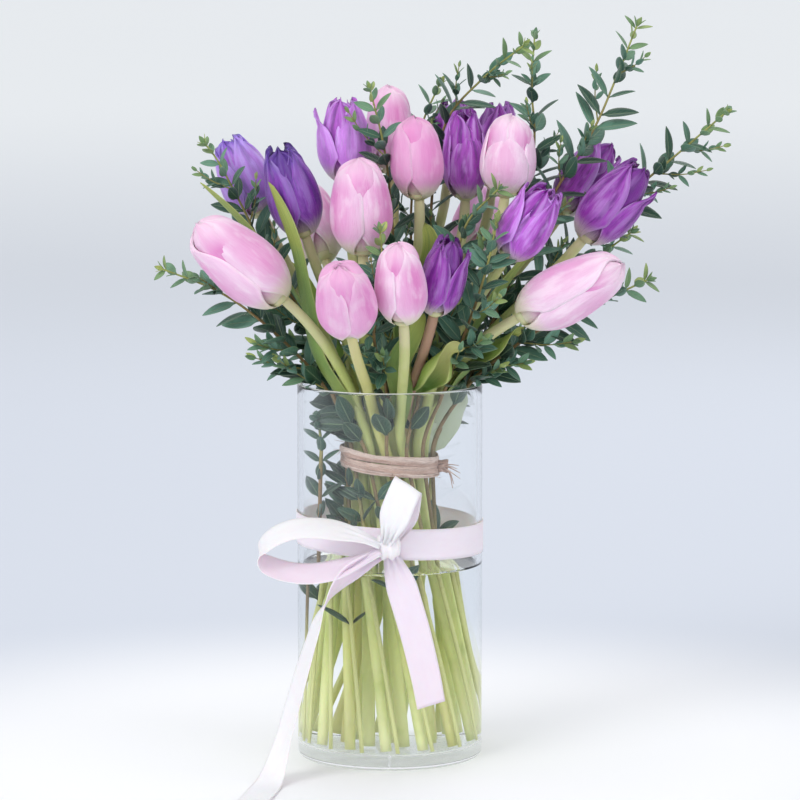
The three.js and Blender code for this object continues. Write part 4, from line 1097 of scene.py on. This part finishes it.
def wide_leaf(build, k, root):
    """A broad leaf that faces the front, set where it clears its neighbours."""
    half, bend = leaf_section(k, WIDE_LEAF["width"])
    for shift in WIDE_LEAF["shifts"]:
        points = np.array([root, *WIDE_LEAF["through"]], float)
        points[1:, 1] += shift
        rib = smooth_line(points, points[1] - points[0], points[-1] - points[-2], FINE_LEAF[0])
        faces = square_to(tangents(rib), np.array(FRONT, float) + (0.25, 0, 0))
        sides = np.cross(tangents(rib), faces)
        leaf = leaf_body(k, rib, faces, sides, half, bend)
        if is_clear(leaf[0], leaf[1], f"tulip_{TULIP_LEAVES[k][0]:02d}_stem"):
            break
    add_leaf(build, k, leaf)


def leaf_section(k, width):
    """Half the leaf's width and the bend of its section, row by row."""
    u = np.linspace(0, 1, FINE_LEAF[0])[:, None]
    last = np.clip((u - 0.44) / 0.56, 0, 1)
    tapered = np.where(u > 0.44, np.sqrt(np.maximum(1 - last**2.4, 0.0004)), outline_at(u))
    half = width / 2 * np.minimum(tapered, 1)
    bend = mix(LEAF_BEND, LEAF_CURLS.get(k, LEAF_BEND), smooth_step(0.5, 0.85, u))
    if k == FUNNEL_LEAF["leaf"]:
        half = width / 2 * mix(0.3, FUNNEL_LEAF["wider"], smooth_step(0.05, 0.62, u))
        half = half * mix(1, FUNNEL_LEAF["lip"], smooth_step(0.62, 0.82, u))
        half = half * np.sqrt(np.maximum(1 - u**8, 0.0004))
        bend = mix(LEAF_BEND, FUNNEL_LEAF["rolled"], smooth_step(0, 0.25, u))
        bend = mix(bend, FUNNEL_LEAF["open"], smooth_step(0.66, 0.9, u))
    return half, np.where(np.abs(bend) < 0.01, 0.01, bend)


def leaf_body(k, rib, faces, sides, half, bend):
    """Points and faces of a fine leaf along a rib, and what its material reads at each point."""
    rows, columns = FINE_LEAF
    tone = (0.37 * k) % 1
    u = np.linspace(0, 1, rows)[:, None]
    v = np.linspace(-1, 1, columns)[None]
    aside = half * np.sin(bend * v) / bend
    wave = 0.07 * half * np.sin(u * 13 + tone * 9 + 2 * v) * v**2
    lift = half * (1 - np.cos(bend * v)) / bend + wave
    # square to the bent section, so that the leaf is as thick at its edges
    tilt = (bend * v)[..., None]
    out = faces[:, None] * np.cos(tilt) - sides[:, None] * np.sin(tilt)
    middle = rib[:, None] + sides[:, None] * aside[..., None] + faces[:, None] * lift[..., None]
    radial = np.hypot(middle[..., 0], middle[..., 1])
    is_inside = (middle[..., 2] < VASE["height"] + 1) | (k == WIDE_LEAF["leaf"])
    inwards = np.where(is_inside, np.minimum(1, INSIDE_GLASS / radial), 1)
    middle[..., :2] *= inwards[..., None]
    thick = (0.75 * (1 - 0.7 * np.abs(v)) * (1 - 0.4 * u) + 0.15)[..., None]
    points, body = thin_solid(middle + out * (0.7 * thick + 0.2), middle + out * (0.2 - 0.3 * thick))
    along, across, pale = over_sheets(FINE_LEAF, u, v, PALE_LEAVES.get(k, 0) * smooth_step(0.3, 0.75, u))
    is_lower = np.repeat([0, 1], rows * columns)
    return points, body, dict(along=along, across=across, tone=tone / 2 + is_lower / 2,
                              relief=pale * (1 - is_lower), shade=WIDE_LEAF_SHADE * (k == WIDE_LEAF["leaf"]))


def tulip_stem(i, foot, line, materials):
    number = f"{i + 1:02d}"
    node = f"tulip_{number}_stem"
    random = np.random.default_rng(500 + i)
    build = Build()
    base = np.array(FLOWERS[i][1], float)
    whole = np.concatenate([foot[None], line, base[None] + unit(line[-1] - line[-2]) * 0.4])
    route = curve_through(whole[1:], 60)
    below = np.linspace(foot, line[0], 26)[:-1]
    route = np.concatenate([below, route])
    place = np.linspace(0, 1, len(route))
    radii = STEM["radius"] * (0.97 + 0.03 * np.sin(place * random.uniform(9, 16) + random.uniform(0, 6)))
    node_at = random.uniform(0.1, 0.3)
    radii += 0.55 * np.exp(-(((place - node_at) / 0.012) ** 2))
    radii[-4:] *= np.array([1.0, 0.98, 0.95, 0.93])
    points, faces, far = tube(route, radii, 16)
    tone = 0.99 if i + 1 == ROSY_STEM else random.uniform(0, 0.8)
    turn = np.tile(np.linspace(0, 6, 16), len(route))
    build.add(points, faces, along=far / far.max(), across=turn, tone=tone)
    has_corner = finder(node)
    for k, leaf in enumerate(TULIP_LEAVES):
        if leaf[0] == i + 1:
            tulip_leaf(build, k, line, has_corner)
    return build.make(f"stem_{number}", [materials["stem"], materials["leaf"]], "tulip_green", [node])


# ---------- eucalyptus ----------
def spray_leaf(root, direction, face, length, slimness):
    """Points, faces and places of one fine leaf with a short stalk and an arched midrib."""
    side = np.cross(direction, face)
    u = np.linspace(0, 1, LEAF_GRID[0])
    v = np.linspace(-1, 1, LEAF_GRID[1])
    outline = np.sin(math.pi * u**0.9) ** 0.75
    outline[0] = 0.1
    outline[1] = min(outline[1], 0.3)
    outline[-1] = 0.04
    half = length * slimness / 2 * outline
    arch = 0.22 * length * u * (1 - u)
    keel = 0.22 * half[:, None] * (1 - np.abs(v[None]))
    middle = root + direction * (u * length)[:, None] + face * arch[:, None]
    sheet = middle[:, None] + side * (half[:, None] * v[None])[..., None] - face * keel[..., None]
    points, faces = thin_solid(sheet, sheet - face * LEAF_THICKNESS)
    return points, faces, *over_sheets(LEAF_GRID, u[:, None], v[None])


def rough_leaf(root, direction, face, length, slimness):
    """A few-sided body a little larger than the leaf, to test that it is clear."""
    side = np.cross(direction, face)
    half = length * slimness / 2 + 0.3
    middle = root + direction * length * 0.5 + face * 0.06 * length
    points = np.array([root + direction * 1.6, middle + side * half, middle - side * half,
                       middle - face * 1.2, root + direction * length])
    return points, [(0, 1, 2), (0, 3, 1), (0, 2, 3), (4, 2, 1), (4, 1, 3), (4, 3, 2)]


def leaning(along, square, turn, rise):
    """The direction at an angle, rise, to a twig, turned about it from its side."""
    return along * math.cos(rise) + turned(square, along, turn) * math.sin(rise)


def leaf_ways(along, square, turn):
    for rise in LEAF_RISES:
        for extra in LEAF_TURNS:
            yield leaning(along, square, turn + extra, rise)


class Spray:
    """One leafy twig, grown as the solid is, with finer and further leaves."""

    def __init__(self, i, foot, line):
        self.node = f"eucalyptus_{i + 1:02d}"
        self.number = f"{i + 1:02d}"
        self.foot = foot
        self.line = line
        self.seed = 11 + i
        self.random = np.random.default_rng(900 + i)
        self.has_corner = finder(self.node)
        self.step = np.linalg.norm(line[1] - line[0])
        self.whole = self.step * (len(line) - 1)
        self.build = Build()
        self.used = []
        self.is_loose = i == len(SPRAYS)

    def station(self, far):
        """The point at a distance above the tie, the twig's direction there, and a side of it."""
        if far < 0:
            along = unit(self.line[0] - self.foot)
            return self.line[0] + along * far, along, square_to(along, LEAF_START)
        i = min(int(far / self.step), len(self.line) - 2)
        root = mix(self.line[i], self.line[i + 1], far / self.step - i)
        along = unit(self.line[i + 1] - self.line[i])
        return root, along, square_to(along, LEAF_START)

    def leaf_length(self, far, share):
        grown = min(1, (self.whole - far) / SPRAY_LEAF["full_by"])
        return mix(SPRAY_LEAF["short"], SPRAY_LEAF["long"], grown) * mix(0.85, 1.1, share)

    def facing(self, root, direction, along):
        """Ways for a leaf to face: as leaves turn to the light, out of the bouquet, or up the twig."""
        outwards = unit([root[0] - BOUQUET_MIDDLE, root[1], 0]) * 0.6 + np.array([0, -0.75, 0.6])
        up_twig = square_to(direction, along)
        lit = square_to(direction, outwards)
        for share in (self.random.uniform(0.3, 1), 0.5, 0):
            yield unit(mix(up_twig, lit * (1 if np.dot(lit, up_twig) > -0.2 else -1), share))

    def try_leaf(self, root, direction, along, length, far):
        """Adds the leaf if one of its ways to face is clear, and says whether it did."""
        slimness = self.random.uniform(0.34, 0.46)
        for face in self.facing(root, direction, along):
            if is_clear(*rough_leaf(root, direction, face, length, slimness), self.node):
                self.add_leaf(root, direction, face, length, far, slimness)
                return True
        return False

    def add_leaf(self, root, direction, face, length, far, slimness):
        points, faces, along, across = spray_leaf(root, direction, face, length, slimness)
        young = smooth_step(55, 0, self.whole - far)
        tone = mix(self.random.uniform(0, 0.66) ** 1.2, self.random.uniform(0.7, 1.0), young)
        # leaves lower down the twig, towards the tie, are painted darker, as painted shade inside the bouquet
        tone = tone * mix(0.45, 1, smooth_step(20, 110, far))
        self.build.add(points, faces, look=1, along=along, across=across, tone=tone)

    def solid_leaves(self):
        """The leaves that the solid has, at their own places."""
        sequence = random_from(self.seed)
        first = min(SPRAY_LEAF["first"], self.whole * 0.3)
        spacing = SPRAY_LEAF["spacing"]
        count = int((self.whole - first - SPRAY_LEAF["from_tip"]) / spacing) + 1
        for pair in range(count):
            far = self.whole - SPRAY_LEAF["from_tip"] - (count - 1 - pair) * spacing
            root, along, square = self.station(far)
            turn = pair * math.pi / 2 + (next(sequence) - 0.5) * 0.7
            length = self.leaf_length(far, next(sequence))
            self.used.append(far)
            for opposite in (0, math.pi):
                for direction in leaf_ways(along, square, turn + opposite):
                    tip = root + direction * length - square_to(direction, along) * 0.12 * length
                    if not self.has_corner(tip):
                        continue
                    to_tip = unit(tip - root)
                    far_tip = np.linalg.norm(tip - root)
                    if not self.try_leaf(root, to_tip, along, far_tip, far):
                        face = square_to(to_tip, along)
                        self.add_leaf(root, to_tip, face, far_tip, far, SPRAY_LEAF["slimness"])
                    break

    def further_leaves(self):
        """Pairs in between, closer towards the tip, wherever they are clear."""
        far = self.whole - SPRAY_LEAF["from_tip"]
        pair = 0
        while far > LOWEST_LEAF:
            pair += 1
            if self.is_leafy(far) and min(abs(far - place) for place in self.used) > FURTHER_GAP:
                self.pair_at(far, pair)
            grown = min(1, (self.whole - far) / SPRAY_LEAF["full_by"])
            far -= mix(6.5, 11.5, grown) * self.random.uniform(0.85, 1.15) * (1.3 if far < 0 else 1)

    def is_leafy(self, far):
        """Whether the twig has a pair here: above the tie always, below it now and then."""
        if self.is_loose:
            return far > LOOSE_BARE_BELOW
        kept = SHARE_BELOW_TIE[far < WATER_FAR]
        if self.station(far)[0][0] > RIGHT_SHARE["beyond"]:
            kept *= RIGHT_SHARE["share"]
        return far > TIE_REACH[1] or (far < TIE_REACH[0] and self.random.uniform(0, 1) < kept)

    def pair_at(self, far, pair):
        root, along, square = self.station(far)
        if np.all(root > BEFORE_WIDE_LEAF[0]) and np.all(root < BEFORE_WIDE_LEAF[1]):
            return
        for opposite in (0, math.pi):
            length = self.leaf_length(far, self.random.uniform(-0.2, 1)) * (1 if far > 0 else 0.85)
            start = pair * math.pi / 2 + opposite + self.random.uniform(-0.3, 0.3)
            for share in (1, 0.75, 0.55) if 0 < far < CROWDED_BELOW else (1,):
                ways = leaf_ways(along, square, start)
                if any(self.try_leaf(root, direction, along, length * share, far) for direction in ways):
                    break

    def shoots(self):
        """Small side shoots with leaves of their own."""
        far = self.whole - self.random.uniform(34, 46)
        while far > 50:
            self.shoot(far)
            far -= self.random.uniform(20, 34) * mix(0.5, 1, smooth_step(60, 120, far))

    def shoot(self, far):
        root, along, square = self.station(far)
        is_low = far < LARGE_LEAVED_BELOW
        outwards = unit([root[0] - BOUQUET_MIDDLE, root[1], 0]) + np.array([0, -0.7, 0.2])
        longest = self.random.uniform(20, 38) * (1.25 if is_low else 1)
        for attempt, extra in enumerate(LEAF_TURNS * 3):
            length = longest * self.random.uniform(0.6, 1) * mix(1, 0.5, attempt / 14)
            away = turned(square, along, self.random.uniform(0, 6.28) + extra)
            if is_low and attempt < 9:
                away = square_to(along, outwards + self.random.uniform(-0.8, 0.8, 3))
            direction = unit(along * 0.75 + away * 0.66)
            face = square_to(direction, along)
            if not is_clear(*rough_leaf(root, direction, face, length, 0.06), self.node):
                continue
            end = root + direction * length * 0.9 + along * length * 0.14
            line = curve_through([root, root + direction * length * 0.55, end], 12)
            points, faces, _ = tube(line, mix(0.55, 0.3, np.linspace(0, 1, 12)), 6)
            self.build.add(points, faces, look=0, along=0.9)
            for k, place in enumerate(SHOOT_LEAVES):
                self.shoot_pair(line, place, k, 1.5 if is_low else 1)
            return

    def shoot_pair(self, line, place, k, growth):
        along = tangents(line)[place]
        square = square_to(along, LEAF_START)
        for opposite in (0, math.pi):
            turn = k * math.pi / 2 + opposite + self.random.uniform(-0.2, 0.2)
            direction = leaning(along, square, turn, mix(0.95, 0.4, k / 4))
            length = mix(11, 5.5, k / 4) * self.random.uniform(0.85, 1.15) * growth
            self.try_leaf(line[place], direction, along, length, self.whole - 40 + 9 * k)

    def tip_leaves(self):
        """The unopened pair and bud at the very end."""
        root, along, square = self.station(self.whole - 0.5)
        for k in range(4):
            direction = leaning(along, square, k * math.pi / 2 + 0.4, 0.35 + 0.2 * (k % 2))
            length = self.random.uniform(5, 8)
            face = square_to(direction, along)
            self.add_leaf(root - along * 1.5, direction, face, length, self.whole, 0.42)

    def make(self, materials):
        self.solid_leaves()
        self.further_leaves()
        self.shoots()
        self.tip_leaves()
        below = np.linspace(self.foot, self.line[0], 12)[:-1]
        route = np.concatenate([below, curve_through(self.line, 70)])
        place = np.linspace(0, 1, len(route))
        radii = TWIG["radius"] * mix(1.0, 0.42, place**1.5)
        points, faces, far = tube(route, radii, 8)
        self.build.add(points, faces, look=0, along=far / far.max())
        looks = [materials["twig"], materials["eucalyptus"]]
        return self.build.make(f"spray_{self.number}", looks, "eucalyptus_green", [self.node])


# ---------- vase, water, raffia and ribbon ----------
def face_middles(points, faces):
    return np.array([points[list(face)].mean(axis=0) for face in faces])


def vase_piece(glass, wetted_glass, rim):
    radius, height, wall = VASE["radius"], VASE["height"], VASE["wall"]
    outer, inner, floor = VASE["outer_corner"], VASE["inner_corner"], VASE["floor"]
    lip = wall / 2
    inside = radius - wall - inner
    profile = [(0, 0), (20, 0), (40, 0)]
    profile += arc(radius - outer, outer, outer, -90, 0, 8)
    profile += [(radius, z) for z in np.linspace(outer + 8, height - lip - 6, 24)]
    profile += arc(radius - lip, height - lip, lip, 0, 180, 12)
    profile += [(radius - wall, z) for z in np.linspace(height - lip - 6, WATER_TOP, 16)]
    profile += [(radius - wall, z) for z in np.linspace(WATER_TOP, floor + inner + 8, 16)[1:]]
    profile += arc(inside, floor + inner, inner, 0, -90, 8)
    profile += [(35, floor), (15, floor), (0, floor)]
    points, faces = lathe(profile, ROUND_SIDES)
    middles = face_middles(points, faces)
    within = np.hypot(middles[:, 0], middles[:, 1]) < radius - wall + 0.1
    wetted = within & (middles[:, 2] > floor - 0.1) & (middles[:, 2] < WATER_TOP)
    build = Build()
    on_rim = middles[:, 2] > height - lip * 0.3
    build.add(points, faces, look=wetted + 2 * on_rim)
    return build.make("glass_vase", [glass, wetted_glass, rim], "clear_glass", ["vase"])


def water_piece(surface, body):
    radius = VASE["radius"] - VASE["wall"] - 0.05
    corner = VASE["inner_corner"]
    bottom = VASE["floor"] + 0.05
    profile = [(0, bottom), (25, bottom)]
    profile += arc(radius - corner, bottom + corner, corner, -90, 0, 8)
    profile += [(radius, z) for z in np.linspace(bottom + corner + 8, WATER_TOP - 4, 16)]
    profile += [(radius, WATER_TOP), (radius - 0.5, WATER_TOP - 0.9), (radius - 1.6, WATER_TOP - 1.6)]
    profile += [(radius - 3.4, WATER_TOP - 1.9), (radius - 8, WATER_TOP - 2)]
    profile += [(25, WATER_TOP - 2), (0, WATER_TOP - 2)]
    points, faces = lathe(profile, ROUND_SIDES)
    middles = face_middles(points, faces)
    against_glass = (np.hypot(middles[:, 0], middles[:, 1]) > radius - 0.1) | (middles[:, 2] < WATER_TOP - 3)
    build = Build()
    build.add(points, faces, look=against_glass.astype(int))
    return build.make("vase_water", [surface, body], "water", ["water"])


def add_fibre(build, random, line, radii, sides, width, **shape):
    """A fibre of raffia along a line. width is its own, by which the grain runs across it."""
    points, faces, far = tube(line, radii, sides, **shape)
    across = np.tile(np.linspace(0, width, sides), len(line))
    build.add(points, faces, along=far, across=across, tone=random.uniform(0, 1))


def winding_height(x):
    return TIE["height"] - TIE["lean"] * x


def wind(build, random, level, half_width, flatness, drift):
    """One strand of raffia round the bundle."""
    start = random.uniform(0, 2 * math.pi)
    angles = start + np.linspace(0, 2 * math.pi, 97)
    wander = drift * np.sin(angles - start + random.uniform(-1, 1)) + 0.25 * np.sin(4 * angles + level)
    radius = (TIE["inner"] + TIE["outer"]) / 2 + random.uniform(-0.3, 0.5) + 0.3 * np.sin(5 * angles + level)
    line = np.stack([radius * np.cos(angles), radius * np.sin(angles), level + wander], axis=1)
    line[:, 2] += winding_height(line[:, 0])
    widths = half_width * (1 + 0.25 * np.sin(3 * angles + random.uniform(0, 6)))
    add_fibre(build, random, line, widths, 10, half_width, hint=(0, 0, 1), flatness=flatness)


def stray_fibre(build, random):
    """A thin fibre that stands off the winding."""
    angle = random.uniform(0, 2 * math.pi)
    steps = np.linspace(0, 1, 7)[:, None]
    around = angle + steps * random.uniform(0.15, 0.45)
    radius = TIE["outer"] + steps**2 * random.uniform(1.5, 5)
    level = random.uniform(-5.5, 5.5) + steps * random.uniform(-3, 3)
    x = radius * np.cos(around)
    line = np.concatenate([x, radius * np.sin(around), level + winding_height(x)], axis=1)
    add_fibre(build, random, line, mix(0.28, 0.1, steps), 5, 0)


def raffia_piece(material):
    """Flat strands and thin fibres wound round the bundle, with a knot and loose ends."""
    random = np.random.default_rng(71)
    build = Build()
    for level in STRANDS:
        wind(build, random, level, random.uniform(1.2, 1.9), 0.35, random.uniform(-1.8, 1.8))
    for level in np.linspace(-6, 6, THIN_FIBRES):
        wind(build, random, level, random.uniform(0.22, 0.5), 1, random.uniform(-1.6, 1.6))
    for _ in range(STRAY_FIBRES):
        stray_fibre(build, random)
    middle = np.array([TIE["outer"] + 2, -7, winding_height(TIE["outer"] + 2)])
    for _ in range(KNOT_TURNS):
        tilt = random.uniform(-0.5, 0.5)
        turn = np.linspace(0, 2 * math.pi, 30)
        level = random.uniform(-3.6, 3.6) + tilt * 3 * np.cos(turn)
        line = middle + np.stack([3.1 * np.cos(turn), 2.4 * np.sin(turn), level]).T
        add_fibre(build, random, line, random.uniform(0.6, 1.1), 6, 2, hint=(0, 0, 1), flatness=0.6)
    for x, y, z in LOOSE_ENDS:
        root = middle + (-1, -1, random.uniform(-2, 2))
        bend = middle + np.array([4, -4, z * 0.35 + random.uniform(0, 2)])
        tip = np.array([TIE["outer"] + x, y, z + winding_height(TIE["outer"] + x)])
        line = curve_through([root, bend, tip], 16)
        add_fibre(build, random, line, mix(1.0, 0.3, np.linspace(0, 1, 16)), 6, 2, flatness=0.5)
    return build.make("raffia_winding", [material], "raffia", ["raffia_tie"])


def ribbon_band_piece(material):
    """The ribbon round the glass, as one strip whose ends meet behind the knot."""
    build = Build()
    angles = np.linspace(-0.5 * math.pi, 1.5 * math.pi, BAND_GRID[0])
    v = np.linspace(-1, 1, BAND_GRID[1])
    level = v[None] * RIBBON["width"] / 2 + RIBBON["height"]
    soft = 0.12 * np.sin(angles[:, None] * 7 + v[None])
    sheets = []
    for extra in (RIBBON["thickness"], 0):
        radius = VASE["radius"] + 0.3 + extra + np.abs(soft)
        x = radius * np.cos(angles)[:, None]
        y = radius * np.sin(angles)[:, None]
        sheets.append(np.stack([x, y, level - RIBBON["lean"] * x], axis=-1))
    points, faces = thin_solid(*sheets)
    along, across = over_sheets(BAND_GRID, angles[:, None] * VASE["radius"], v[None])
    tone = np.repeat(BAND_PINKNESS, len(along) // 2)
    build.add(points, faces, along=along, across=across, tone=tone)
    piece = build.make("ribbon_round_glass", [material], "satin_ribbon", ["ribbon_band"])


def strip(build, rows, count, pinches, fold, pinkness):
    """A smooth ribbon through rows of (middle, across), gathered at its ends. Returns its length."""
    middles = curve_through([row[0] for row in rows], count)
    asides = curve_through([row[1] for row in rows], count)
    along = tangents(middles)
    sides = square_to(along, asides)
    faces = np.cross(along, sides)
    u = np.linspace(0, 1, count)
    v = np.linspace(-1, 1, STRIP_COLUMNS)
    gather = np.ones(count)
    for pinch, from_end in zip(pinches, (u, 1 - u)):
        if pinch:
            gather *= mix(GATHERED, 1, smooth_step(0, pinch, from_end))
    half = RIBBON["width"] / 2 * gather
    ripple = (1 - gather)[:, None] * 3.2 * np.cos(v[None] * 3.4 * math.pi + fold)
    cup = 0.5 * (v[None] ** 2 - 0.4) * gather[:, None]
    lift = ripple + cup + 0.15 * np.sin(u[:, None] * 20 + v[None] * 3)
    sheet = middles[:, None] + sides[:, None] * (half[:, None] * v[None])[..., None]
    sheet = sheet + faces[:, None] * lift[..., None]
    thick = RIBBON["thickness"] / 2
    points, body = thin_solid(sheet + faces[:, None] * thick, sheet - faces[:, None] * thick)
    length = np.linalg.norm(np.diff(middles, axis=0), axis=1).sum()
    run, across = over_sheets(lift.shape, (u * length)[:, None], v[None])
    build.add(points, body, along=run, across=across, tone=np.repeat(pinkness, lift.size))
    return length


def knot_surface(build):
    """The turn of ribbon that holds the bow, with gathered folds across it."""
    rows, columns = KNOT["grid"]
    a = np.linspace(0, 2 * math.pi, rows)
    b = np.linspace(-0.5 * math.pi, 0.5 * math.pi, columns)
    folds = 1 + 0.13 * np.sin(b[None] * 8 + 1.4 * np.sin(a[:, None])) * np.cos(b[None])
    x = KNOT["reach"][0] * np.sin(b[None]) * 0.95 * np.ones_like(a[:, None])
    y = KNOT["reach"][1] * np.cos(b[None]) ** 0.6 * np.cos(a[:, None]) * folds
    z = KNOT["reach"][2] * np.cos(b[None]) ** 0.6 * np.sin(a[:, None]) * folds
    points = np.stack([x, y, z], axis=-1) + np.array(KNOT["middle"], float)
    across = np.tile(np.linspace(-0.9, 0.9, columns), rows)
    build.add(points, sheet_faces(rows, columns), along=np.repeat(a * 9, columns), across=across)


def ribbon_bow_piece(material):
    build = Build()
    length = sum(strip(build, *shape) for shape in STRIPS)
    knot_surface(build)
    piece = build.make("ribbon_bow_satin", [material], "satin_ribbon", ["ribbon_bow"])


# ---------- floor, light and camera ----------
def floor_piece():
    mesh = bpy.data.meshes.new("floor")
    corners = [(x * FLOOR_HALF, y * FLOOR_HALF, 0) for x, y in ((-1, -1), (1, -1), (1, 1), (-1, 1))]
    mesh.from_pydata(corners, [], [(0, 1, 2, 3)])
    shader = Shader("pale_floor", Roughness=0.7)
    far = shader.node("ShaderNodeVectorMath", "Value", {0: shader.position()}, operation="LENGTH")
    shader.colour = shader.blend(far.spread(0.22, 0.55), (246, 246, 248), (209, 214, 224))
    shader.over(far.spread(1.0, 7.0), (252, 254, 255))
    mesh.materials.append(shader.painted())
    floor = bpy.data.objects.new("floor", mesh)
    bpy.context.scene.collection.objects.link(floor)


def lamp(name, place, size, power):
    light = bpy.data.lights.new(name, "AREA")
    light.shape = "RECTANGLE"
    light.size, light.size_y = size
    light.energy = power
    holder = bpy.data.objects.new(name, light)
    holder.location = place
    holder.rotation_euler = (Vector(LAMPS_AIM) - Vector(place)).to_track_quat("-Z", "Y").to_euler()
    bpy.context.scene.collection.objects.link(holder)


def light_and_camera():
    world = bpy.data.worlds.new("pale_room")
    world.use_nodes = True
    background = world.node_tree.nodes["Background"]
    background.inputs["Color"].default_value = ROOM["colour"]
    background.inputs["Strength"].default_value = ROOM["strength"]
    bpy.context.scene.world = world
    bpy.context.scene.view_settings.view_transform = "Standard"
    for name, settings in LAMPS.items():
        lamp(name, *settings)
    camera = bpy.data.cameras.new("camera")
    camera.sensor_width = CAMERA["sensor"]
    camera.lens = CAMERA["lens"]
    camera.clip_end = CAMERA["reach"]
    holder = bpy.data.objects.new("camera", camera)
    holder.location = CAMERA["place"]
    holder.rotation_euler = (math.pi / 2 - CAMERA["tilt"], 0, 0)
    bpy.context.scene.collection.objects.link(holder)
    bpy.context.scene.camera = holder


# ---------- the whole ----------
def main():
    materials = {
        "heart": heart_material(),
        "anther": anther_material(),
        "stem": stem_material(),
        "leaf": tulip_leaf_material(),
        "eucalyptus": eucalyptus_leaf_material(),
        "twig": twig_material(),
    }
    for hue, (streaks, *colours) in PETAL_TINTS.items():
        materials[hue] = petal_material(f"{hue}_petal", streaks, *colours)
    satin = satin_material()
    vase_piece(clear_material("clear_glass", GLASS_INDEX, 0.0002),
               clear_material("wetted_glass", GLASS_INDEX / WATER_INDEX, 0.0002), painted_rim_highlight_material())
    water_piece(clear_material("water_surface", WATER_INDEX, 0.0003),
                clear_material("water_against_glass", 1.0, 0.0))
    raffia_piece(raffia_material())
    ribbon_band_piece(satin)
    ribbon_bow_piece(satin)
    feet, lines = bundle()
    for i, flower in enumerate(FLOWERS):
        bloom(i, flower, materials)
        tulip_stem(i, feet[i], lines[i], materials)
    for i in range(len(SPRAYS) + 1):
        k = len(FLOWERS) + i
        Spray(i, feet[k], lines[k]).make(materials)
    floor_piece()
    light_and_camera()


main()
